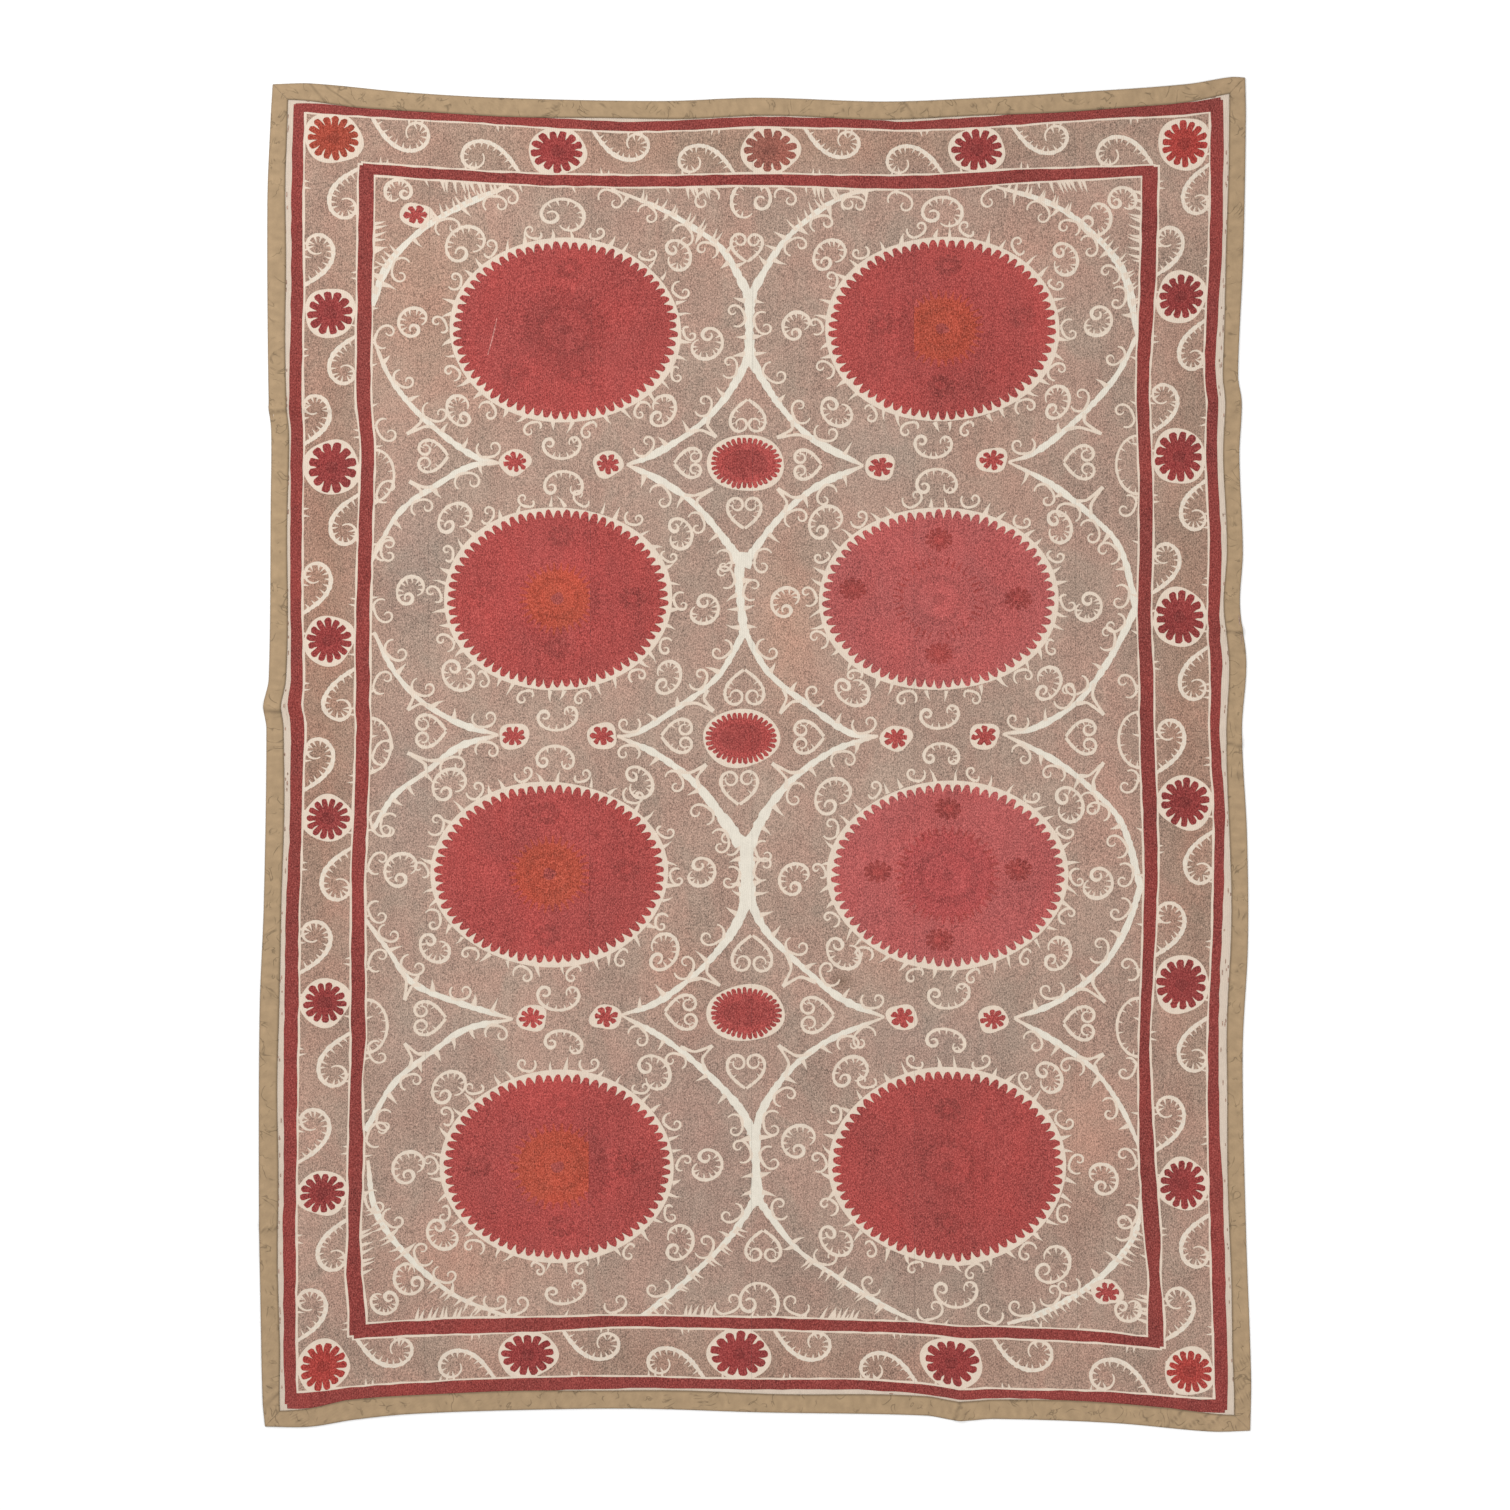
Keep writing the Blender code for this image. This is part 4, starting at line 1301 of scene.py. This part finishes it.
def bake_map_place(number, a, b, on_back):
    """Where a point of one length of cloth goes on its UV map: three strips, front beside back."""
    left, right = panel_bounds(number)
    across, up = (a - left) / (right - left), b / (HEIGHT / MM) * STRIPS
    strip = min(int(up), STRIPS - 1)
    share = FRONT_SHARE + (1 - FRONT_SHARE) * across if on_back else FRONT_SHARE * across * 0.985
    return (strip + 0.004 + share * 0.985) / STRIPS, min(max(up - strip, 0.001), 0.999)


print("thread stands", round(STITCH_RISE / MM, 2), "mm over the bare cloth")


# %% One length of cloth
SEWN = 0.5


def one_layer(number, faces):
    """A layer of triangles at the underside of one length, each with the colour of its thread."""
    used = sorted({corner for triangle, _ in faces for corner in triangle})
    flat = np.array([flat_points[k][:] for k in used])
    x, y = lay(flat[:, 0] * MM, flat[:, 1] * MM)
    z = heights(flat[:, 0], flat[:, 1])
    mesh = bmesh.new()
    colour_layer = mesh.loops.layers.float_color.new("thread")
    flat_layer = mesh.verts.layers.float_vector.new("flat_place")
    verts = {}
    for k, place, spot in zip(used, zip(x, y, z), flat):
        verts[k] = mesh.verts.new(place)
        verts[k][flat_layer] = (*spot, 0)
    tone = LENGTH_TONES[number]
    tints = {k: ground_tint(spot[0], spot[1]) for k, spot in zip(used, flat)}
    for triangle, thread in faces:
        face = mesh.faces.new([verts[k] for k in triangle])
        for k, loop in zip(triangle, face.loops):
            if thread is GROUND:
                tint = [value * tone for value in tints[k]]
            else:
                tint = [tone if thread.stitched else 1.0] * 3
            loop[colour_layer] = (*[value * t for value, t in zip(thread, tint)], thread.stitched)
    return mesh


def thicken(mesh):
    """Extrude the layer by the cloth's thickness, and its stitched areas once more by the thread's."""
    colour_layer = mesh.loops.layers.float_color["thread"]
    raised = bmesh.ops.extrude_face_region(mesh, geom=mesh.faces[:])["geom"]
    above = [part for part in raised if isinstance(part, bmesh.types.BMFace)]
    top_verts = {vert for face in above for vert in face.verts}
    bmesh.ops.translate(mesh, verts=list(top_verts), vec=(0, 0, BARE_THICK))
    stitched = [face for face in above if face.loops[0][colour_layer][3] > SEWN]
    raised = bmesh.ops.extrude_face_region(mesh, geom=stitched)["geom"]
    thread_verts = [part for part in raised if isinstance(part, bmesh.types.BMVert)]
    bmesh.ops.translate(mesh, verts=thread_verts, vec=(0, 0, STITCH_RISE))
    covered = [face for face in stitched if face.is_valid]
    bmesh.ops.delete(mesh, geom=covered, context="FACES_ONLY")
    bmesh.ops.recalc_face_normals(mesh, faces=mesh.faces[:])


def face_the_cloth(mesh, number):
    """Give each face the material of its side, and its place on the bake map."""
    flat_layer = mesh.verts.layers.float_vector["flat_place"]
    bake_map = mesh.loops.layers.uv.new("OFBake")
    for face in mesh.faces:
        on_back = face.normal.z < -0.5
        face.material_index = 1 if on_back else 0
        face.smooth = abs(face.normal.z) > 0.5
        for loop in face.loops:
            spot = loop.vert[flat_layer]
            loop[bake_map].uv = bake_map_place(number, spot[0], spot[1], on_back)


def placed(mesh, name, sharp_angle, body, slot):
    """Make the object of a finished mesh and hide the piece of the frame that it replaces."""
    data = bpy.data.meshes.new(name)
    mesh.to_mesh(data)
    mesh.free()
    data.set_sharp_from_angle(angle=math.radians(sharp_angle))
    made = bpy.data.objects.new(data.name, data)
    bpy.context.scene.collection.objects.link(made)
    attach(made, "root")
    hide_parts(body)
    return made


def length_of_cloth(number, faces):
    """One length of cloth from its triangles, given with the thread that shows on each."""
    mesh = one_layer(number, faces)
    thicken(mesh)
    face_the_cloth(mesh, number)
    name = f"embroidered_length_{number + 1}"
    return placed(mesh, name, 40, f"panel_{number + 1}", "stitched_cotton")


print("bare cloth is", round(BARE_THICK / MM, 2), "mm thick")

# %% Build the six lengths

by_length = [[] for _ in range(PANELS)]
for triangle, top_patch in zip(triangles, shown):
    middle = sum((flat_points[k] for k in triangle), Vector((0, 0))) / 3
    for number, (left, right) in enumerate(bounds):
        if left < middle.x < right and CLOTH_EDGE / MM < middle.y < (HEIGHT - CLOTH_EDGE) / MM:
            thread = top_patch.thread if top_patch else GROUND
            by_length[number].append((triangle, thread))
lengths = [length_of_cloth(number, faces) for number, faces in enumerate(by_length)]
for made in lengths:
    print(made.name, len(made.data.polygons), "faces")

# %% [markdown]
# ## The folded binding
# Four strips of plain khaki cotton are folded over the edges of the cloth, sewn down on the front,
# and mitred where they meet. A strip is one loop of points, its section, laid again and again
# along the side. The upper layer is a little puffed and puckered between the fold and the row of
# stitches that holds it down. Pleats lie across it, most of them where the maker turned a corner.
# %% Sections of the binding
SectionPoint = namedtuple("SectionPoint", "depth height tone slack")
# From the edge of the lower layer round the fold to the stitched edge of the upper one, and back.
# tone is painted shade: darker on the fold and where the upper layer rolls down to its stitched edge, where
# a dark row of stitches runs as well.
BINDING_SECTION = [SectionPoint(*row) for row in (
    (32, 0.0, 0.9, 0), (21, 0.0, 0.9, 0), (11, 0.0, 0.9, 0), (3, 0.0, 0.9, 0), (1.0, 0.5, 0.8, 0),
    (0.2, 1.5, 0.55, 0), (0.2, 2.7, 0.60, 0), (1.2, 3.8, 0.82, 0.2), (3, 4.2, 1.0, 0.5),
    (7, 4.3, 1.03, 1), (12, 4.3, 1.0, 1), (17, 4.3, 1.0, 1), (22, 4.3, 1.0, 1), (26, 4.2, 1.0, 0.8),
    (28.5, 4.1, 0.96, 0.5), (30, 3.9, 0.72, 0.2), (31, 3.75, 0.62, 0.1), (31.8, 3.5, 0.55, 0),
    (32, 3.2, 0.5, 0), (30, 3.05, 0.5, 0), (18, 3.1, 0.8, 0), (5, 3.1, 0.8, 0), (2.2, 2.7, 0.8, 0),
    (1.6, 2.0, 0.8, 0), (2.2, 1.4, 0.8, 0), (5, 1.0, 0.8, 0), (18, 1.0, 0.8, 0),
)]
# Pleats lie across a strip: where, how far they slant for each millimetre of depth, and their size.
Pleat = namedtuple("Pleat", "side run slant half_width height")
PLEATS = [Pleat(*row) for row in (
    ("top", 92, 0.9, 9, 1.6), ("top", 128, 1.6, 5, 0.9), ("top", 560, -0.8, 6, 0.7),
    ("top", 1250, 0.5, 5, 0.6), ("left", 60, 0.9, 8, 1.5), ("left", 1992, 0.1, 9, 1.8),
    ("left", 1409, -0.2, 12, 1.2), ("left", 392, 0.2, 8, 0.8), ("right", 1556, 0.1, 9, 1.8),
    ("right", 1338, 0.2, 10, 1.0), ("right", 66, -0.8, 7, 1.7), ("right", 98, -1.2, 6, 1.4),
    ("right", 136, -0.7, 5, 1.0), ("bottom", 1838, 0.9, 7, 1.7), ("bottom", 1806, 1.3, 6, 1.3),
    ("bottom", 1762, 0.8, 5, 0.9), ("bottom", 70, -0.9, 7, 1.2), ("bottom", 1345, 0.3, 8, 1.0),
)]
# How wide the binding shows in the middle of each side. The section above is drawn 32 mm wide.
SHOWN_WIDTH = {"left": 34.0, "right": 34.0, "top": 39.5, "bottom": 41.0}
DRAWN_WIDTH = 32
KHAKI = (0.335, 0.232, 0.135)
CUT_END = (0.20, 0.14, 0.08, 0)
SECTION_STEP = 6.0
BINDING_STRIPS = 12
END_LENGTH = 120
MITRE_GAP = 0.3
print(len(BINDING_SECTION), "points round the binding,", len(PLEATS), "pleats")


# %% Puckers and pleats
def binding_height(side, run, depth):
    """How far puckers and pleats lift the upper layer at these points, in millimetres."""
    turn = 1.7 * SIDES.index(side)
    pucker = np.sin(run * 0.21 + turn + np.sin(run * 0.043) * 3 + depth * 0.08)
    pucker += 0.6 * np.sin(run * 0.37 - depth * 0.12 + turn * 2 + np.sin(run * 0.029) * 4)
    height = 0.38 * pucker
    for pleat in PLEATS:
        if pleat.side == side:
            beside = run - pleat.run - pleat.slant * (depth - 16)
            height = height + pleat.height * hump(beside, pleat.half_width)
    return height


def crease_shade(side, run, depth):
    """How much painted shade along one side of each pleat's root darkens the cloth."""
    tone = np.ones_like(run)
    for pleat in PLEATS:
        if pleat.side == side:
            beside = run - pleat.run - pleat.slant * (depth - 16) + pleat.half_width * 0.7
            tone = tone - 0.38 * hump(beside, 5.0)
    return np.clip(tone, 0.4, 1)


tallest = max(PLEATS, key=lambda pleat: pleat.height)
print("the tallest pleat is", tallest.height, "mm high, on the", tallest.side, "strip")


# %% Make the four strips
def binding_sections(side, count):
    """The places and tones, with their painted shade, of all points of a strip, a row for each section from
    mitre to mitre.
    """
    length = LONG_SIDE[side]
    share = np.linspace(0, 1, count + 1)[:, None]
    near_end = np.clip(np.minimum(share, 1 - share) * length / END_LENGTH, 0, 1)
    wider = SHOWN_WIDTH[side] - DRAWN_WIDTH + 1.2 * np.sin(share * length * 0.017)
    shown_width = DRAWN_WIDTH + wider * near_end
    spot_depth, spot_height, spot_tone, slack = np.array(BINDING_SECTION, float).T
    depth = spot_depth / DRAWN_WIDTH * shown_width
    run = (depth + MITRE_GAP) + (length - 2 * (depth + MITRE_GAP)) * share
    a, b = side_place(side, run, depth)
    x, y = [places.reshape(a.shape) for places in lay(a.ravel() * MM, b.ravel() * MM)]
    waves = binding_height(side, run, depth)
    z = lift(a * MM, b * MM) + np.maximum(spot_height + slack * waves, 0) * MM
    # Painted shade and light: darker in the hollows of the puckers, a little lighter on their crests, and
    # darker in the painted shade of the pleats.
    tone = spot_tone * (1 + 0.14 * slack * np.clip(waves, -1, 0.4)) * crease_shade(side, run, depth)
    return x, y, z, tone


def make_binding(side):
    """One strip of the binding, from mitre to mitre."""
    count = int(LONG_SIDE[side] / SECTION_STEP)
    per_strip = math.ceil(count / BINDING_STRIPS)
    x, y, z, tone = binding_sections(side, count)
    mesh = bmesh.new()
    tones = {}
    rings = []
    for k in range(count + 1):
        ring = [mesh.verts.new(place) for place in zip(x[k], y[k], z[k])]
        tones.update(zip(ring, tone[k]))
        rings.append(ring)
    colour_layer = mesh.loops.layers.float_color.new("thread")
    bake_map = mesh.loops.layers.uv.new("OFBake")
    size = len(BINDING_SECTION)
    for k in range(count):
        strip, local = divmod(k, per_strip)
        for j in range(size):
            following = (j + 1) % size
            corners = [rings[k][j], rings[k + 1][j], rings[k + 1][following], rings[k][following]]
            face = mesh.faces.new(corners)
            face.smooth = True
            places = ((local, j), (local + 1, j), (local + 1, j + 1), (local, j + 1))
            for loop, (u, v) in zip(face.loops, places):
                loop[colour_layer] = (*[value * tones[loop.vert] for value in KHAKI], 0)
                map_up = (strip + 0.03 + v / size * 0.94) / BINDING_STRIPS
                loop[bake_map].uv = (0.002 + u / per_strip * 0.996, map_up)
    for ring in (rings[0], rings[-1]):
        end = mesh.faces.new(ring)
        for loop in end.loops:
            loop[colour_layer] = CUT_END
    bmesh.ops.triangulate(mesh, faces=[face for face in mesh.faces if len(face.verts) > 4])
    bmesh.ops.recalc_face_normals(mesh, faces=mesh.faces[:])
    return placed(mesh, f"folded_binding_{side}", 60, f"binding_{side}", "binding_cotton")


bindings = {side: make_binding(side) for side in SIDES}
print("bindings", [len(made.data.polygons) for made in bindings.values()], "faces")

# %% [markdown]
# ## Thread and cloth
# The colour of every thread is on the mesh already. The materials only add what stitching and
# wear do to it, and a few short functions keep their nodes as easy to read as a recipe.
# %% Shader helpers
def node(tree, kind, inputs=(), **settings):
    """A node of this kind. inputs maps socket names or numbers to values or to other sockets."""
    made = tree.nodes.new(kind)
    for name, value in settings.items():
        setattr(made, name, value)
    for name, value in dict(inputs).items():
        if isinstance(value, bpy.types.NodeSocket):
            tree.links.new(value, made.inputs[name])
        else:
            made.inputs[name].default_value = value
    return made


def math_node(tree, operation, *values):
    """The result of one sum of these values or sockets."""
    return node(tree, "ShaderNodeMath", enumerate(values), operation=operation).outputs[0]


def mix_colours(tree, blend, factor, first, second):
    """Two colours, mixed or multiplied."""
    sockets = {0: factor, 6: first, 7: second}
    return node(tree, "ShaderNodeMix", sockets, data_type="RGBA", blend_type=blend).outputs[2]


def grey(tree, value):
    """A grey as light as this value."""
    return node(tree, "ShaderNodeCombineXYZ", {0: value, 1: value, 2: value}).outputs[0]


def ramp(tree, value, low, high, at_low=0.0, at_high=1.0):
    """A value that goes from at_low to at_high while the given one goes from low to high."""
    sockets = {"Value": value, 1: low, 2: high, 3: at_low, 4: at_high}
    return node(tree, "ShaderNodeMapRange", sockets).outputs[0]


def noise_at(tree, place, scale, detail=2.0, rough=0.5, distortion=0.0):
    """Soft noise. scale says how many of its waves fit in a metre, along X, Y and Z."""
    spot = node(tree, "ShaderNodeVectorMath", {0: place, 1: scale}, operation="MULTIPLY").outputs[0]
    settings = {"Vector": spot, "Scale": 1.0, "Detail": detail, "Roughness": rough, "Distortion": distortion}
    return node(tree, "ShaderNodeTexNoise", settings).outputs["Fac"]


COLOUR_AND_HEIGHT = (("Colour", "NodeSocketColor"), ("Height", "NodeSocketFloat"))
print("every group gives", [name for name, kind in COLOUR_AND_HEIGHT])

# %% [markdown]
# ## Stitching
# The thread lies in rows of couching stitches that run up the cloth, a row every few millimetres.
# Old thread is never even: it is faded in blotches, pinker here and greyer there, flecked where
# single stitches are darker, and rubbed through to the brown cotton under it. Bare cloth shows
# only its own fibres and smudges, so the fourth number of the thread colour picks between the two.
# %% Wear of thread and of bare cloth
stitching = bpy.data.node_groups.new("stitching", "ShaderNodeTree")
for name, kind in (("Thread", "NodeSocketColor"), ("Stitched", "NodeSocketFloat")):
    stitching.interface.new_socket(name, in_out="INPUT", socket_type=kind)
for name, kind in COLOUR_AND_HEIGHT:
    stitching.interface.new_socket(name, in_out="OUTPUT", socket_type=kind)
given = stitching.nodes.new("NodeGroupInput")
place = node(stitching, "ShaderNodeTexCoord").outputs["Object"]
STITCH_ROW = 0.0042
PINKISH = (1.045, 0.966, 0.980, 1)
GREYISH = (0.945, 0.988, 1.010, 1)
SHOWN_THROUGH = (0.56, 0.40, 0.32, 1)


def around_half(field, amount, base):
    """base plus amount times how far the field is from a half."""
    off = math_node(stitching, "SUBTRACT", field, 0.5)
    return math_node(stitching, "MULTIPLY_ADD", off, amount, base)


blotches = noise_at(stitching, place, (6, 5, 6), 4, 0.6)
tinges = noise_at(stitching, place, (11, 8, 11), 3, 0.6, 0.6)
streaks = noise_at(stitching, place, (70, 9, 70), 3, 0.6)
smudges = noise_at(stitching, place, (55, 40, 55), 3, 0.65)
flecks = noise_at(stitching, place, (420, 300, 420), 3, 0.8)
fibres = noise_at(stitching, place, (1400, 380, 1400), 2, 0.6)
drift = noise_at(stitching, place, (30, 30, 30), 1, 0.5)
across = node(stitching, "ShaderNodeSeparateXYZ", {0: place}).outputs["X"]
sway = math_node(stitching, "MULTIPLY", drift, 14.0)
phase = math_node(stitching, "MULTIPLY_ADD", across, math.tau / STITCH_ROW, sway)
rows = math_node(stitching, "SINE", phase)
# Each amount says how much lighter and darker that noise makes the thread or the bare cloth.
worn = math_node(stitching, "MULTIPLY_ADD", rows, 0.03, 1.0)
worn = around_half(streaks, 0.30, worn)
worn = around_half(smudges, 0.28, worn)
worn = around_half(blotches, 0.62, worn)
worn = around_half(flecks, 3.7, worn)
worn = around_half(fibres, 0.25, worn)
clean = around_half(fibres, 0.35, around_half(smudges, 0.25, 1.0))
print("stitch rows", round(STITCH_ROW / MM, 1), "mm apart")

# %% Colour and height of the stitching
value = node(stitching, "ShaderNodeMix", {0: given.outputs["Stitched"], 2: clean, 3: worn}).outputs[0]
shaded = mix_colours(stitching, "MULTIPLY", 1.0, given.outputs["Thread"], grey(stitching, value))
spread = ramp(stitching, tinges, 0.36, 0.64)
tinge = mix_colours(stitching, "MIX", spread, PINKISH, GREYISH)
tinged = mix_colours(stitching, "MULTIPLY", 1.0, shaded, tinge)
rubbed = ramp(stitching, flecks, 0.50, 0.72, 0.0, 0.16)
rubbed_through = mix_colours(stitching, "MIX", rubbed, tinged, SHOWN_THROUGH)
coloured = mix_colours(stitching, "MIX", given.outputs["Stitched"], shaded, rubbed_through)
height = math_node(stitching, "MULTIPLY_ADD", rows, 0.5, flecks)
given_out = stitching.nodes.new("NodeGroupOutput")
stitching.links.new(coloured, given_out.inputs["Colour"])
stitching.links.new(height, given_out.inputs["Height"])
print("stitching group", len(stitching.nodes), "nodes")

# %% [markdown]
# ## Crumpled khaki
# The binding is plain cotton that was handled far more than the cloth inside it. Thin dark lines of
# painted shade run over it where it was crumpled, they come and go, and the weave holds a little grime.
# %% The crumpling group
crumpling = bpy.data.node_groups.new("crumpling", "ShaderNodeTree")
crumpling.interface.new_socket("Cloth", in_out="INPUT", socket_type="NodeSocketColor")
for name, kind in COLOUR_AND_HEIGHT:
    crumpling.interface.new_socket(name, in_out="OUTPUT", socket_type=kind)
given = crumpling.nodes.new("NodeGroupInput")
place = node(crumpling, "ShaderNodeTexCoord").outputs["Object"]
wave = noise_at(crumpling, place, (19, 17, 19), 2, 0.55, 1.6)
off = math_node(crumpling, "ABSOLUTE", math_node(crumpling, "SUBTRACT", wave, 0.5))
# crease: thin lines of painted shade where the cloth was crumpled, which darken the khaki and are cut into
# the bump.
crease = ramp(crumpling, off, 0.0, 0.022, 1.0, 0.0)
gaps = noise_at(crumpling, place, (40, 40, 40), 1, 0.5)
kept = ramp(crumpling, gaps, 0.45, 0.60)
crease = math_node(crumpling, "MULTIPLY", crease, kept)
grime = noise_at(crumpling, place, (60, 60, 60), 4, 0.65)
weave = noise_at(crumpling, place, (700, 700, 700), 2, 0.6)
value = math_node(crumpling, "MULTIPLY_ADD", crease, -0.42, 0.70)
value = math_node(crumpling, "MULTIPLY_ADD", grime, 0.45, value)
value = math_node(crumpling, "MULTIPLY_ADD", weave, 0.20, value)
creased = mix_colours(crumpling, "MULTIPLY", 1.0, given.outputs["Cloth"], grey(crumpling, value))
given_out = crumpling.nodes.new("NodeGroupOutput")
crumpling.links.new(creased, given_out.inputs["Colour"])
crumpling.links.new(math_node(crumpling, "SUBTRACT", wave, crease), given_out.inputs["Height"])
print("crumpling group", len(crumpling.nodes), "nodes")

# %% [markdown]
# ## Materials
# All three are the same matt cotton. They read the thread colour, let a group wear it, the binding's
# group also painting shade into its creases, and give the group's height to the light. The back of the
# stitched cloth is a little coarser than its front.
# %% Make the materials and put them on


def cotton(name, group, sockets, strength, grain):
    """Matt cotton: its colour comes from the thread attribute, and its wear and grain from a group, with
    painted crease shade in the binding's group.
    sockets says which of the group's inputs take the attribute's colour and its fourth number."""
    made = bpy.data.materials.new(name)
    made.use_nodes = True
    tree = made.node_tree
    shader = tree.nodes["Principled BSDF"]
    thread = node(tree, "ShaderNodeAttribute", attribute_name="thread")
    wear = node(tree, "ShaderNodeGroup", node_tree=group)
    for socket, part in sockets.items():
        tree.links.new(thread.outputs[part], wear.inputs[socket])
    tree.links.new(wear.outputs["Colour"], shader.inputs["Base Color"])
    height = wear.outputs["Height"]
    bump = node(tree, "ShaderNodeBump", {"Strength": strength, "Distance": grain, "Height": height})
    tree.links.new(bump.outputs[0], shader.inputs["Normal"])
    shader.inputs["Roughness"].default_value = 0.85
    shader.inputs["Specular IOR Level"].default_value = 0.25
    return made


THREAD_SOCKETS = {"Thread": "Color", "Stitched": "Alpha"}
front = cotton("stitched_front", stitching, THREAD_SOCKETS, 0.7, 0.6 * MM)
back = cotton("stitched_back", stitching, THREAD_SOCKETS, 0.9, 0.6 * MM)
for made in lengths:
    made.data.materials.append(front)
    made.data.materials.append(back)
khaki_cotton = cotton("khaki_cotton", crumpling, {"Cloth": "Color"}, 0.6, 1.2 * MM)
for made in bindings.values():
    made.data.materials.append(khaki_cotton)
print("materials", front.name, back.name, khaki_cotton.name)

# %% [markdown]
# ## Ten sheets
# Each piece is a sheet of cloth, cut flat to its own size. All lie on the floor. A binding strip
# has two layers, because it is folded in half.
for number, made in enumerate(lengths):
    left, right = panel_bounds(number)

print(len(lengths) + len(bindings), "sheets declared")
